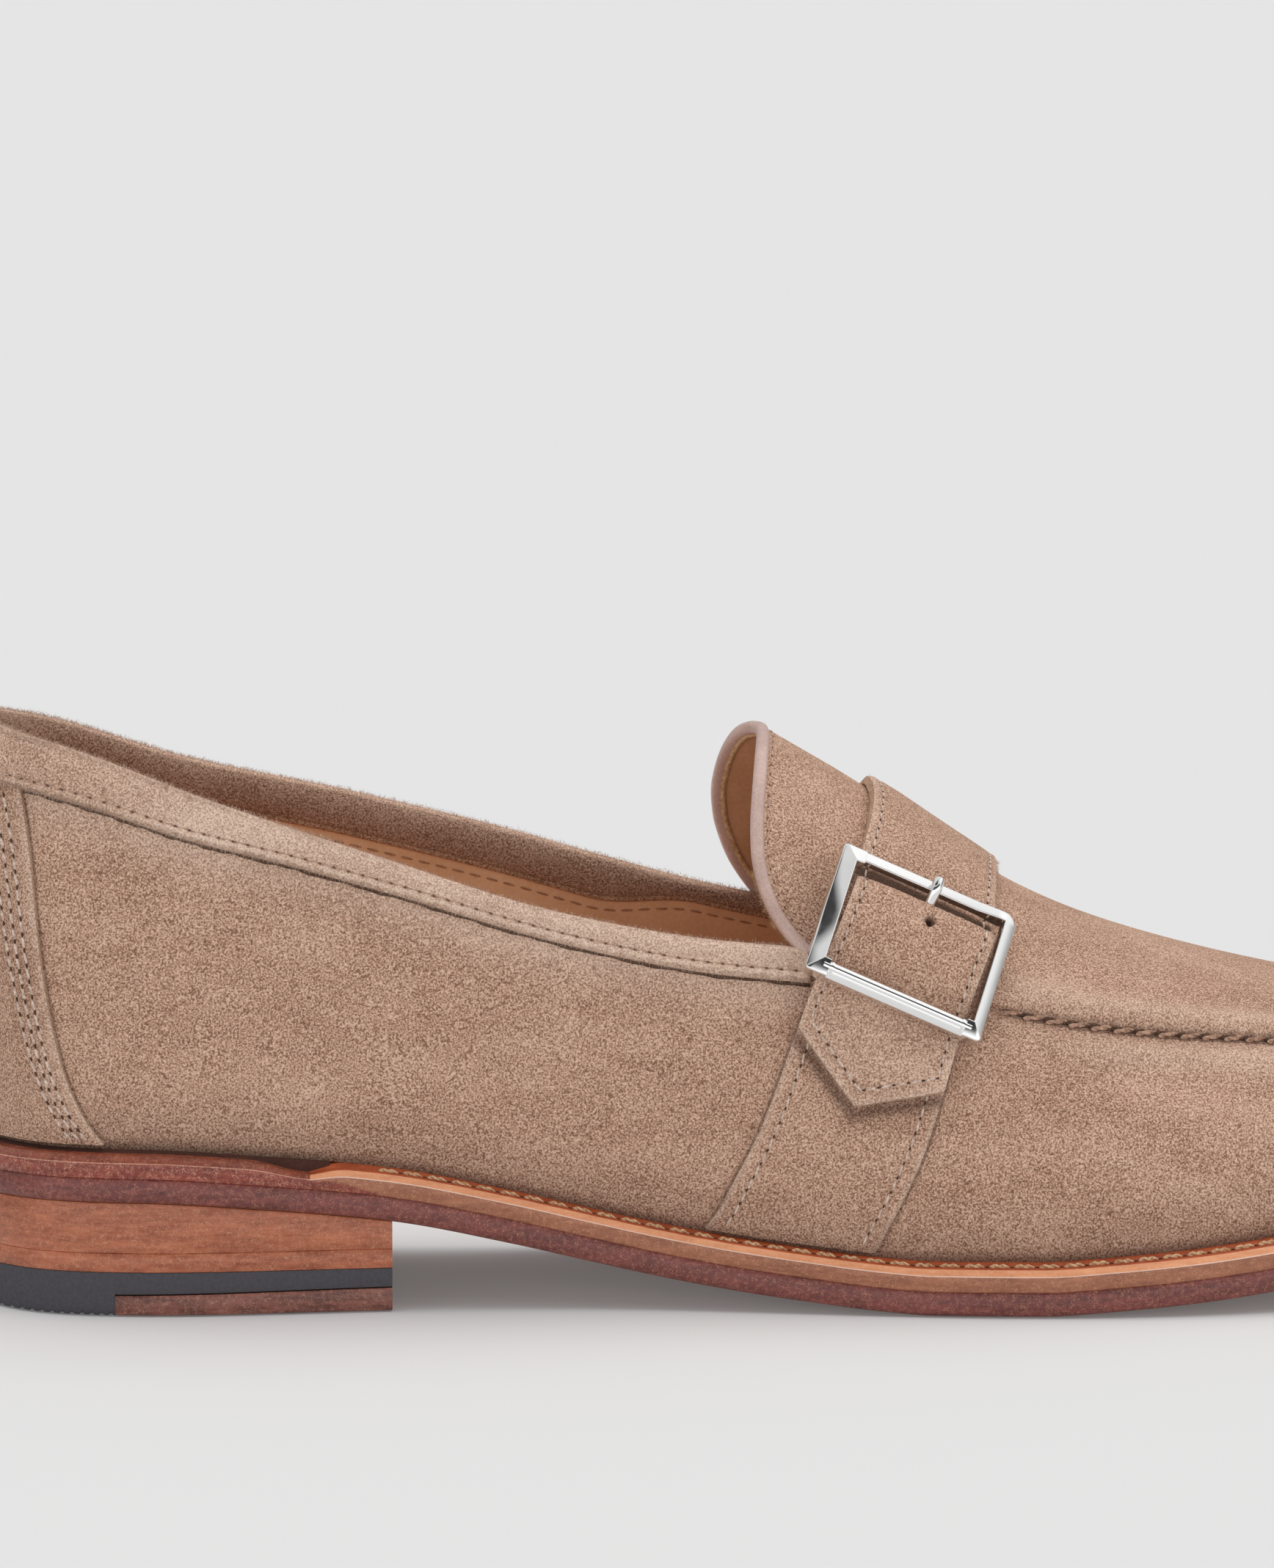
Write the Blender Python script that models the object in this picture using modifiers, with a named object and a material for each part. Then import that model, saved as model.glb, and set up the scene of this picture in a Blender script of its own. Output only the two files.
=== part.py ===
"""Monk strap loafer for the right foot: bottom, upper, strap and buckle as separate solids a small gap apart.

Lengths are in millimetres until solid() turns them into metres. A station is measured along the shoe from the
back of the heel to the toe. Side is -1 for the outer half, where the buckle sits, and +1 for the inner half.
Around is a station turned into an angle-like share, 0 at the heel and 1 at the toe, so that the ends come
out round. Up runs along a rib of the last from the edge of the sole, 0, to the ridge over the foot, 1.
Lift is the distance outwards from the last.
"""

import bmesh
import bpy
import numpy as np
from mathutils.kdtree import KDTree

MM = 0.001

# Driving sizes
LENGTH = 296.0
GAP = 0.3
OUTSOLE_THICK = 4.1
STACK = 8.1
INSOLE_THICK = 3.0
WALL = 2.0
OVERLAY = 1.0
APRON_THICK = 1.2
STRAP_THICK = 2.0

# Outline of the sole: station, outer half, inner half
OUTLINE = (
    (0, 0.0, 0.0),
    (5, -17.0, 17.0),
    (12, -25.6, 25.6),
    (25, -31.5, 31.3),
    (38, -33.3, 32.8),
    (55, -33.1, 32.0),
    (72, -32.6, 30.2),
    (90, -33.0, 28.2),
    (105, -34.3, 27.4),
    (120, -37.0, 29.0),
    (140, -42.0, 34.0),
    (160, -47.0, 40.8),
    (180, -50.3, 46.8),
    (198, -51.0, 50.2),
    (218, -48.9, 51.0),
    (236, -44.2, 49.6),
    (255, -36.3, 45.2),
    (272, -25.8, 38.3),
    (284, -15.3, 30.6),
    (292, -5.6, 21.6),
    (296, 8.0, 8.0),
)

# Underside of the outsole: station, height above the floor
UNDERSIDE = (
    (0, 19.0),
    (30, 18.8),
    (55, 17.0),
    (72, 15.0),
    (92, 10.9),
    (104, 8.1),
    (116, 5.5),
    (128, 3.4),
    (140, 1.8),
    (152, 0.5),
    (160, 0.0),
    (178, 0.0),
    (190, 0.7),
    (205, 1.9),
    (220, 3.6),
    (240, 6.4),
    (260, 9.4),
    (280, 12.7),
    (296, 15.5),
)

# How far the upper stands in from the outline: station, inset
INSET = ((0, 4.4), (72, 4.6), (150, 5.0), (230, 5.0), (296, 5.2))

# Ridge of the last: station on the ridge, sideways place, height
RIDGE = (
    (40, 0.0, 150.0),
    (70, 0.3, 148.0),
    (95, 0.6, 131.0),
    (120, 1.0, 104.0),
    (138, 1.6, 91.0),
    (153, 2.0, 82.0),
    (166, 2.4, 73.2),
    (178, 2.8, 65.5),
    (190, 3.2, 59.7),
    (204, 4.0, 54.8),
    (226, 5.4, 49.0),
    (245, 6.8, 45.0),
    (264, 8.0, 41.0),
)

# Ribs of the last: station, bulge, rise and shoulder of the outer half, the same three of the inner half,
# then how far the rib's shoulder drops below the ridge
RIBS = (
    (0, 2.5, 27.0, 1.40, 2.5, 27.0, 1.40, 26.0),
    (30, 5.0, 26.0, 1.00, 5.0, 26.0, 1.00, 56.0),
    (72, 5.0, 28.0, 0.90, 6.0, 30.0, 0.90, 51.0),
    (110, 7.0, 27.0, 0.85, 8.0, 29.0, 0.85, 12.0),
    (140, 6.0, 28.0, 0.55, 7.0, 29.0, 0.55, 0.0),
    (175, 5.0, 24.0, 0.50, 5.5, 25.0, 0.50, 0.0),
    (205, 4.5, 20.0, 0.50, 5.0, 21.0, 0.50, 0.0),
    (250, 4.0, 16.0, 0.55, 4.0, 17.0, 0.55, 0.0),
    (296, 4.0, 13.0, 0.62, 4.0, 13.0, 0.62, 0.0),
)

# Finished top edge of the collar: station on the edge, height of the outer half, height of the inner half
TOPLINE = (
    (4, 97.5, 97.5),
    (20, 93.2, 93.4),
    (42, 85.0, 86.3),
    (71, 74.9, 80.0),
    (97, 66.4, 73.5),
    (112, 63.1, 69.0),
    (126, 60.8, 65.0),
    (142, 59.2, 61.0),
)

# Seam between the apron and the side of the vamp: station, up
SEAM = (
    (173, 0.511),
    (190, 0.533),
    (207, 0.553),
    (227, 0.570),
    (250, 0.575),
    (272, 0.583),
    (286, 0.615),
    (296, 0.700),
)

# Rear edge of the tongue: share of the way from the seam to the ridge, station of the outer half,
# station of the inner half
TONGUE_EDGE = (
    (0.0, 141.8, 141.8),
    (0.05, 137.6, 138.3),
    (0.1, 134.9, 135.5),
    (0.16, 132.9, 133.0),
    (0.23, 131.5, 131.0),
    (0.3, 130.8, 129.5),
    (0.45, 130.4, 127.9),
    (0.6, 130.4, 127.6),
    (0.75, 130.35, 127.8),
    (0.9, 130.1, 128.6),
    (1.0, 129.3, 129.3),
)

# Strap and the saddle below it: up, station of the rear edge, station of the front edge
STRAP = (
    (0.0, 122.2, 149.8),
    (0.05, 125.0, 151.8),
    (0.1, 127.2, 154.0),
    (0.2, 131.7, 158.0),
    (0.3, 135.3, 161.3),
    (0.4, 138.8, 164.3),
    (0.5, 142.6, 167.6),
    (0.6, 145.7, 170.9),
    (0.7, 148.3, 173.6),
    (0.8, 150.3, 175.8),
    (0.9, 151.3, 178.0),
    (1.0, 151.0, 180.4),
)

# Inner face of the strap on the outer half, where it threads through the buckle: up, lift at its rear edge,
# lift at its front edge
STRAP_LIFT_OUTER = (
    (0.25, 2.2, 2.0),
    (0.33, 2.4, 1.7),
    (0.39, 3.0, 1.6),
    (0.445, 4.2, 1.5),
    (0.48, 5.8, 3.2),
    (0.525, 6.8, 4.4),
    (0.57, 6.6, 4.6),
    (0.605, 5.6, 4.5),
    (0.64, 3.9, 3.4),
    (0.67, 3.3, 3.1),
    (0.72, 2.4, 2.4),
    (0.8, 1.9, 1.9),
    (1.0, 1.85, 1.85),
)

# The same on the inner half, where it leaves the apron and lies on the vamp
STRAP_LIFT_INNER = (
    (0.0, 0.3, 0.3),
    (0.34, 0.3, 0.3),
    (0.44, 1.2, 1.2),
    (0.52, 1.85, 1.85),
    (1.0, 1.85, 1.85),
)

# Tip of the strap: share of the way across it from rear to front, up
STRAP_TIP = ((0.0, 0.361), (0.5, 0.259), (1.0, 0.314))

# Front edge of the heel counter: share of the way from the sole to the collar band, station
COUNTER_EDGE = ((0.0, 23.9), (0.08, 21.5), (0.17, 19.5), (0.28, 17.7), (0.54, 14.7), (0.83, 11.6), (1.0, 8.7))

# Depth of the collar band on the outside: station, depth
BAND_DEPTH = ((0, 9.2), (32, 8.0), (58, 6.0), (92, 5.0), (120, 5.7), (140, 6.3))
BAND_INSIDE = 6.5
BAND_CROWN = 2.1
BAND_THICK = 1.1

THROAT = 140.0
BAND_END = 138.4
WELT_START = 58.0
SOLE_EDGE_UP = 0.012
SADDLE_TOP = 0.40
INSOLE_CLEAR = 0.5

# Strips that stand out around the foot: their width and the bevel of their outer edge
STRIP_WIDE = 12.0
STRIP_BEVEL = 1.2
SOLE_ROUNDING = 0.6

# Raised roll along the apron's seam: where it starts and how fast, its place, width and height
ROLL_START = 173.0
ROLL_FADE = 6.0
ROLL_PLACE = 0.08
ROLL_WIDTH = 0.07
ROLL_HEIGHT = 0.9
SEAM_GROOVE = 0.5

# Piped edge of the tongue
PIPING_RADIUS = 1.05
PIPING_CLEAR = 0.35

# Heel
BREAST = 72.0
HEEL_INSET = 0.9
TIP_START = 26.0
TIP_HEIGHT = 3.3
TIP_RISE = 0.6
RUBBER_TOP = 7.2
LOWER_LIFT_TOP = 10.4

# Buckle: place on the last, turn about the last's normal, tilt about the axis up the strap
BUCKLE_STATION = 155.9
BUCKLE_UP = 0.537
BUCKLE_STAND_OFF = 6.0
BUCKLE_TURN = np.radians(2.0)
BUCKLE_TILT = np.radians(5.0)
BUCKLE_WIDE = 31.9
BUCKLE_TALL = 25.0
BUCKLE_HALF_THICK = 1.5
BUCKLE_CORNER = 1.6
SIDE_BAR = 2.6
TOP_BAR = 2.0
TOP_BAR_HALF_THICK = 0.9
BOTTOM_BAR = 3.0
BOTTOM_BAR_UNDER = -1.0
BUCKLE_BEVEL = 0.35
HINGE_RADIUS = 0.8
HINGE_OUT = -1.7
PRONG_RADIUS = 1.0
PRONG_ACROSS = 0.9

# Colours, as linear red, green and blue
SUEDE = (0.310, 0.195, 0.124)
PIPING = (0.250, 0.155, 0.120)
LINING = (0.420, 0.220, 0.105)
SOLE_LEATHER = (0.120, 0.042, 0.026)
WELT_LEATHER = (0.330, 0.120, 0.045)
LIFT_LEATHER = (0.270, 0.098, 0.040)
RUBBER = (0.050, 0.048, 0.054)
METAL = (0.760, 0.750, 0.730)


# Curves through the tables

def column(table, index):
    return np.array([row[index] for row in table], float)


def steady_curve(places, values):
    """A curve through the values that never overshoots them, so that flat runs stay flat."""
    steps = np.diff(places)
    rates = np.diff(values) / steps
    slopes = np.zeros(len(places))
    slopes[0], slopes[-1] = rates[0], rates[-1]
    for k in range(1, len(places) - 1):
        if rates[k - 1] * rates[k] > 0:
            before = 2 * steps[k] + steps[k - 1]
            after = steps[k] + 2 * steps[k - 1]
            slopes[k] = (before + after) / (before / rates[k - 1] + after / rates[k])

    def at(place):
        place = np.clip(np.asarray(place, float), places[0], places[-1])
        k = np.clip(np.searchsorted(places, place, side="right") - 1, 0, len(steps) - 1)
        t = (place - places[k]) / steps[k]
        ends = (1 + 2 * t) * (1 - t) ** 2 * values[k] + t * t * (3 - 2 * t) * values[k + 1]
        bends = t * (1 - t) ** 2 * slopes[k] + t * t * (t - 1) * slopes[k + 1]
        return ends + bends * steps[k]

    return at


def smooth_curve(places, values):
    """A natural cubic spline through the values."""
    count = len(places)
    steps = np.diff(places)
    rates = np.diff(values) / steps
    matrix = np.eye(count)
    right = np.zeros(count)
    for k in range(1, count - 1):
        matrix[k, k - 1 : k + 2] = steps[k - 1], 2 * (steps[k - 1] + steps[k]), steps[k]
        right[k] = 6 * (rates[k] - rates[k - 1])
    bends = np.linalg.solve(matrix, right)

    def at(place):
        place = np.clip(np.asarray(place, float), places[0], places[-1])
        k = np.clip(np.searchsorted(places, place, side="right") - 1, 0, count - 2)
        ahead, behind = places[k + 1] - place, place - places[k]
        cubes = (bends[k] * ahead**3 + bends[k + 1] * behind**3) / (6 * steps[k])
        left = values[k] / steps[k] - bends[k] * steps[k] / 6
        far = values[k + 1] / steps[k] - bends[k + 1] * steps[k] / 6
        return cubes + left * ahead + far * behind

    return at


def steady(table, index=1):
    return steady_curve(column(table, 0), column(table, index))


def smooth(table, index):
    return smooth_curve(column(table, 0), column(table, index))


def around_at(station):
    return np.arccos(np.clip(1 - 2 * np.asarray(station, float) / LENGTH, -1, 1)) / np.pi


def station_at(around):
    return LENGTH * (1 - np.cos(np.pi * np.asarray(around, float))) / 2


half_outline = {
    -1: smooth_curve(around_at(column(OUTLINE, 0)), column(OUTLINE, 1)),
    1: smooth_curve(around_at(column(OUTLINE, 0)), column(OUTLINE, 2)),
}
underside = steady(UNDERSIDE)
inset = steady(INSET)
ridge_side, ridge_height = smooth(RIDGE, 1), smooth(RIDGE, 2)
rib_columns = {-1: [steady(RIBS, k) for k in (1, 2, 3)], 1: [steady(RIBS, k) for k in (4, 5, 6)]}
crown_drop = steady(RIBS, 7)
topline = {-1: steady(TOPLINE, 1), 1: steady(TOPLINE, 2)}
tongue_edge = {-1: steady(TONGUE_EDGE, 1), 1: steady(TONGUE_EDGE, 2)}
strap_rear, strap_front = steady(STRAP, 1), steady(STRAP, 2)
strap_lift = {
    -1: (steady(STRAP_LIFT_OUTER, 1), steady(STRAP_LIFT_OUTER, 2)),
    1: (steady(STRAP_LIFT_INNER, 1), steady(STRAP_LIFT_INNER, 2)),
}
counter_edge = steady(COUNTER_EDGE)
band_depth = steady(BAND_DEPTH)


# The last

def outline(side, around, inward):
    """Points of the sole's outline, moved inward square to it."""

    def edge(share):
        over_heel, over_toe = share < 0, share > 1
        own = half_outline[side](np.clip(share, 0, 1))
        other = half_outline[-side](np.where(over_toe, 2 - share, -share))
        return station_at(share), np.where(over_heel | over_toe, other, own)

    step = 1e-4
    x, y = edge(around)
    x_after, y_after = edge(around + step)
    x_before, y_before = edge(around - step)
    along_x, along_y = x_after - x_before, y_after - y_before
    length = np.hypot(along_x, along_y)
    return x + side * inward * along_y / length, y - side * inward * along_x / length


def rib_point(side, around, up):
    """Points of one half of the last: a rib springs from the sole, bulges, and bends over to the ridge."""
    around, up = np.broadcast_arrays(np.asarray(around, float), np.asarray(up, float))
    station = station_at(around)
    foot_x, foot_y = outline(side, around, inset(station))
    foot_z = underside(foot_x) + STACK + GAP
    first, last = RIDGE[0][0], RIDGE[-1][0]
    top_x = first + (last - first) * station / LENGTH
    top_y, top_z = ridge_side(top_x), ridge_height(top_x)
    before, after = np.maximum(top_x - 0.5, first), np.minimum(top_x + 0.5, last)
    slope = (ridge_height(after) - ridge_height(before)) / (after - before)
    reach = np.hypot(foot_x - top_x, foot_y - top_y)
    out_x, out_y = (foot_x - top_x) / reach, (foot_y - top_y) / reach
    bulge, rise, shoulder = (values(station) for values in rib_columns[side])
    width = shoulder * reach
    corners = (
        (foot_x, foot_y, foot_z),
        (foot_x + out_x * bulge, foot_y + out_y * bulge, foot_z + rise),
        (top_x + out_x * width, top_y + out_y * width, top_z + slope * out_x * width - crown_drop(station)),
        (top_x, top_y, top_z),
    )
    shares = ((1 - up) ** 3, 3 * up * (1 - up) ** 2, 3 * up * up * (1 - up), up**3)
    return sum(share[..., None] * np.stack(corner, -1) for share, corner in zip(shares, corners))


def last_point(side, around, up):
    """Points of the whole last: past the heel, the toe or the ridge the other half carries on."""
    side, around, up = np.broadcast_arrays(side, np.asarray(around, float), np.asarray(up, float))
    other = (around < 0) ^ (around > 1) ^ (up > 1)
    side = np.where(other, -side, side)
    around = np.abs(around)
    around = np.where(around > 1, 2 - around, around)
    up = np.where(up > 1, 2 - up, up)
    return np.where((side < 0)[..., None], rib_point(-1, around, up), rib_point(1, around, up))


def slopes_of(side, around, up):
    step = 1e-3
    along = last_point(side, around + step, up) - last_point(side, around - step, up)
    upward = last_point(side, around, up + step) - last_point(side, around, up - step)
    return along / (2 * step), upward / (2 * step)


def normal_of(side, around, up):
    # The ridge ends on the toe's rib, so the normal of that end is read a little below it.
    up = np.where(np.asarray(around) > 0.995, np.minimum(up, 0.97), up)
    along, upward = slopes_of(side, around, up)
    normal = np.cross(along, upward) * -np.asarray(side, float)[..., None]
    return normal / np.linalg.norm(normal, axis=-1, keepdims=True)


def place(side, around, up, lift):
    side, around, up, lift = np.broadcast_arrays(side, around, up, lift)
    return last_point(side, around, up) + np.asarray(lift, float)[..., None] * normal_of(side, around, up)


def by_side(values, side, around):
    """values(side, around) for arrays of both sides, where a negative around lies on the other side."""
    side = np.where(around < 0, -side, side)
    return np.where(side < 0, values(-1, np.abs(around)), values(1, np.abs(around)))


def below(side, around, up, distance):
    """The up that lies this far down a rib."""
    _, upward = slopes_of(side, around, up)
    return up - distance / np.linalg.norm(upward, axis=-1)


def top_up(side, around):
    """Where each rib meets the finished top edge of the collar, found by halving."""
    low, high = np.zeros_like(around), np.ones_like(around)
    for _ in range(40):
        middle = (low + high) / 2
        point = rib_point(side, around, middle)
        above = point[..., 2] > topline[side](point[..., 0])
        low, high = np.where(above, low, middle), np.where(above, middle, high)
    return (low + high) / 2


def wall_up(side, around):
    return below(np.full_like(around, side), around, top_up(side, around), BAND_CROWN)


def band_foot_up(side, around):
    return below(np.full_like(around, side), around, top_up(side, around), band_depth(station_at(around)))


def seam_curve(side):
    throat = np.array([around_at(THROAT)])
    places = np.concatenate([throat, around_at(column(SEAM, 0))])
    return steady_curve(places, np.concatenate([wall_up(side, throat), column(SEAM, 1)]))


seam = {-1: seam_curve(-1), 1: seam_curve(1)}


# Making solids

def clear_scene():
    for old in list(bpy.data.objects):
        bpy.data.objects.remove(old, do_unlink=True)


def new_collection(name):
    collection = bpy.data.collections.new(name)
    bpy.context.scene.collection.children.link(collection)
    return collection


def material(name, colour, roughness, metallic=0.0):
    made = bpy.data.materials.new(name)
    made.use_nodes = True
    shader = made.node_tree.nodes["Principled BSDF"]
    shader.inputs["Base Color"].default_value = (*colour, 1.0)
    shader.inputs["Roughness"].default_value = roughness
    shader.inputs["Metallic"].default_value = metallic
    made.diffuse_color = (*colour, 1.0)
    return made


def centre():
    """The middle of the sole's outline, which becomes the origin."""
    shares = np.linspace(0, 1, 400)
    widest = [half_outline[side](shares) for side in (-1, 1)]
    return np.array([LENGTH / 2, (widest[0].min() + widest[1].max()) / 2, 0.0])


def solid(name, points, faces, look, collection):
    """One closed object from points in millimetres, with repeated points joined and its faces turned out."""
    mesh = bpy.data.meshes.new(name)
    points = (np.asarray(points).reshape(-1, 3) - centre()) * MM
    mesh.from_pydata(points.tolist(), [], faces)
    work = bmesh.new()
    work.from_mesh(mesh)
    bmesh.ops.remove_doubles(work, verts=work.verts, dist=0.002 * MM)
    bmesh.ops.dissolve_degenerate(work, edges=work.edges, dist=0.002 * MM)
    bmesh.ops.recalc_face_normals(work, faces=work.faces)
    work.to_mesh(mesh)
    work.free()
    mesh.materials.append(look)
    made = bpy.data.objects.new(name, mesh)
    collection.objects.link(made)
    return made


def loft(rings, closed=False):
    """Points and faces of a tube through closed rings, capped at its ends unless it closes on itself."""
    rings = np.asarray(rings, float)
    count, size = rings.shape[:2]
    faces = []
    for i in range(count if closed else count - 1):
        j = (i + 1) % count
        for k in range(size):
            m = (k + 1) % size
            faces.append((i * size + k, i * size + m, j * size + m, j * size + k))
    if not closed:
        faces.append(tuple(range(size))[::-1])
        faces.append(tuple(range((count - 1) * size, count * size)))
    return rings.reshape(-1, 3), faces


def welded(points):
    """For each point, the number of the first point that lies at the same place."""
    tree = KDTree(len(points))
    for k, point in enumerate(points):
        tree.insert(point, k)
    tree.balance()
    return [min(k for _, k, _ in tree.find_range(point, 0.01)) for point in points]


def shell(grids, low, high):
    """Points and faces of a curved panel between two lifts: grids that share their edges."""
    outer, inner, faces = [], [], []
    start = 0
    for side, around, up in grids:
        side, around, up = np.broadcast_arrays(side, around, up)
        outer.append(place(side, around, up, high(side, around, up)).reshape(-1, 3))
        inner.append(place(side, around, up, low(side, around, up)).reshape(-1, 3))
        rows, columns = up.shape
        for i in range(rows - 1):
            for j in range(columns - 1):
                corner = start + i * columns + j
                faces.append((corner, corner + 1, corner + columns + 1, corner + columns))
        start += rows * columns
    outer, inner = np.concatenate(outer), np.concatenate(inner)
    same = welded(outer)
    skin = []
    for face in faces:
        kept = list(dict.fromkeys(same[k] for k in face))
        if len(kept) > 2:
            skin.append(kept)
    uses = {}
    for face in skin:
        for a, b in zip(face, face[1:] + face[:1]):
            uses.setdefault(frozenset((a, b)), []).append((a, b))
    rim = [pairs[0] for pairs in uses.values() if len(pairs) == 1]
    far = len(outer)
    under = [[k + far for k in reversed(face)] for face in skin]
    walls = [(b, a, a + far, b + far) for a, b in rim]
    return np.concatenate([outer, inner]), skin + under + walls


def level(value):
    return lambda side, around, up: np.full(np.shape(up), float(value))


def plate(arounds, side_wall, floor, roof):
    """Points and faces of a slab across the sole. The side wall lists (inset, share of the height)."""
    rings = []
    for around in arounds:
        ring = []
        for side, wall in ((-1, side_wall), (1, side_wall[::-1])):
            for inward, share in wall:
                inward = inward(station_at(around)) if callable(inward) else inward
                x, y = outline(side, np.array(around), inward)
                ring.append((x, y, floor(x) + share * (roof(x) - floor(x))))
        rings.append(ring)
    return loft(rings)


# Bottom

def sole_arounds(first, last, count):
    return np.linspace(around_at(first), around_at(last), count)


def make_outsole(look, collection):
    edge = ((SOLE_ROUNDING, 0.0), (0.0, 0.2), (0.0, 1.0))
    arounds = sole_arounds(0, LENGTH, 41)
    points, faces = plate(arounds, edge, underside, lambda x: underside(x) + OUTSOLE_THICK)
    solid("outsole", points, faces, look, collection)


def sole_strip(path, heights):
    """A welt-like strip along a path of (side, around): flat below, bevelled at its outer top edge."""
    section = ((STRIP_WIDE, 0.0), (0.0, 0.0), (0.0, 0.62), (STRIP_BEVEL, 1.0), (STRIP_WIDE, 1.0))
    thick = STACK - OUTSOLE_THICK - GAP
    rings = []
    for (side, around), share in zip(path, heights):
        ring = []
        for inward, height in section:
            x, y = outline(side, np.array(around), inward)
            ring.append((x, y, underside(x) + OUTSOLE_THICK + GAP + height * share * thick))
        rings.append(ring)
    return loft(rings)


def make_welt(look, collection):
    shares = sole_arounds(WELT_START, LENGTH, 31)
    path = [(-1, share) for share in shares] + [(1, share) for share in shares[-2::-1]]
    heights = np.ones(len(path))
    heights[[0, -1]] = 0.75
    points, faces = sole_strip(path, heights)
    solid("welt", points, faces, look, collection)


def make_heel_rand(look, collection):
    shares = sole_arounds(0, WELT_START - 0.6, 14)
    path = [(-1, share) for share in shares[::-1]] + [(1, share) for share in shares[1:]]
    heights = np.ones(len(path))
    heights[[0, -1]] = 0.55
    heights[[1, -2]] = 0.85
    points, faces = sole_strip(path, heights)
    solid("heel_rand", points, faces, look, collection)


def tip_top(x):
    return TIP_HEIGHT + TIP_RISE * (x - TIP_START) / (BREAST - TIP_START)


def make_heel(lift_look, rubber_look, leather_look, collection):
    whole = sole_arounds(0, BREAST, 13)
    plain = ((HEEL_INSET, 0.0), (HEEL_INSET, 1.0))
    worn = ((HEEL_INSET + SOLE_ROUNDING, 0.0), (HEEL_INSET, 0.2), (HEEL_INSET, 1.0))

    def flat(height):
        return lambda x: np.full(np.shape(x), float(height))

    points, faces = plate(whole, plain, flat(LOWER_LIFT_TOP + GAP), lambda x: underside(x) - GAP)
    solid("heel_lift_upper", points, faces, lift_look, collection)
    points, faces = plate(whole, plain, flat(RUBBER_TOP + GAP), flat(LOWER_LIFT_TOP))
    solid("heel_lift_lower", points, faces, lift_look, collection)

    behind = sole_arounds(0, TIP_START, 9)
    ahead = sole_arounds(TIP_START, BREAST, 7)
    back_points, _ = plate(behind, worn, flat(0), flat(RUBBER_TOP))
    front_points, _ = plate(ahead, worn, lambda x: tip_top(x) + GAP, flat(RUBBER_TOP))
    back_rings = back_points.reshape(len(behind), -1, 3)
    front_rings = front_points.reshape(len(ahead), -1, 3)
    points, faces = loft(np.concatenate([back_rings, front_rings]))
    solid("heel_top_rubber", points, faces, rubber_look, collection)

    points, faces = plate(sole_arounds(TIP_START + GAP, BREAST, 7), worn, flat(0), tip_top)
    solid("heel_top_leather", points, faces, leather_look, collection)


def make_insole(look, collection):
    def inward(station):
        return inset(station) + WALL + INSOLE_CLEAR

    floor_height = STACK + GAP
    points, faces = plate(
        sole_arounds(0, LENGTH, 41),
        ((inward, 0.0), (inward, 1.0)),
        lambda x: underside(x) + floor_height,
        lambda x: underside(x) + floor_height + INSOLE_THICK,
    )
    solid("insole", points, faces, look, collection)


# Upper

def make_upper(look, collection):
    throat = around_at(THROAT)
    rear = np.linspace(0, throat, 18)[:, None]
    front = np.linspace(throat, 1, 19)[:, None]
    rise = np.linspace(0, 1, 9)[None]
    cross = np.linspace(0, 1, 6)[None]
    grids = []
    for side in (-1, 1):
        grids.append((side, rear, rise * wall_up(side, rear)))
        grids.append((side, front, rise * seam[side](front)))
        grids.append((side, front, seam[side](front) + (1 - seam[side](front)) * cross))
    points, faces = shell(grids, level(-WALL), level(0))
    solid("upper", points, faces, look, collection)


def make_heel_counter(look, collection):
    rise = np.linspace(0, 1, 9)[:, None]
    across = np.linspace(1, -1, 15)[None]
    around = around_at(counter_edge(rise)) * across
    top = by_side(lambda side, share: below(side, share, band_foot_up(side, share), GAP), -1, around)
    up = SOLE_EDGE_UP + rise * (top - SOLE_EDGE_UP)
    points, faces = shell([(-1, around, up)], level(GAP), level(GAP + OVERLAY))
    solid("heel_counter", points, faces, look, collection)


def make_collar_band(look, collection):
    """A folded band over the top edge of the wall: outside leg, rounded crown, inside leg."""
    outside, inside = GAP + BAND_THICK, -WALL - GAP - BAND_THICK
    shares = sole_arounds(0, BAND_END, 20)
    path = [(-1, share) for share in shares[::-1]] + [(1, share) for share in shares[1:]]
    rings = []
    for side, share in path:
        depth = float(band_depth(station_at(share)))
        floor = BAND_CROWN - GAP
        section = (
            (depth, GAP),
            (depth, outside - 0.1),
            (1.6, outside),
            (0.5, outside - 0.6),
            (0.0, -WALL / 2),
            (0.5, inside + 0.6),
            (1.6, inside),
            (BAND_INSIDE, inside + 0.1),
            (BAND_INSIDE, -WALL - GAP),
            (floor, -WALL - GAP),
            (floor, GAP),
        )
        around = np.full(len(section), share)
        sides = np.full(len(section), side)
        top = top_up(side, around)
        up = below(sides, around, top, column(section, 0))
        rings.append(place(sides, around, up, column(section, 1)))
    points, faces = loft(rings)
    solid("collar_band", points, faces, look, collection)


def apron_lift(side, around, up):
    """The apron's outer face, with a raised roll along its seam in front of the strap."""
    station = station_at(around)
    edge = np.where(side < 0, seam[-1](around), seam[1](around))
    share = (up - edge) / (1 - edge)
    ridge = ROLL_HEIGHT * np.exp(-(((share - ROLL_PLACE) / ROLL_WIDTH) ** 2))
    groove = SEAM_GROOVE * np.exp(-((share / 0.03) ** 2))
    return GAP + APRON_THICK + (ridge - groove) * np.clip((station - ROLL_START) / ROLL_FADE, 0, 1)


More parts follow.
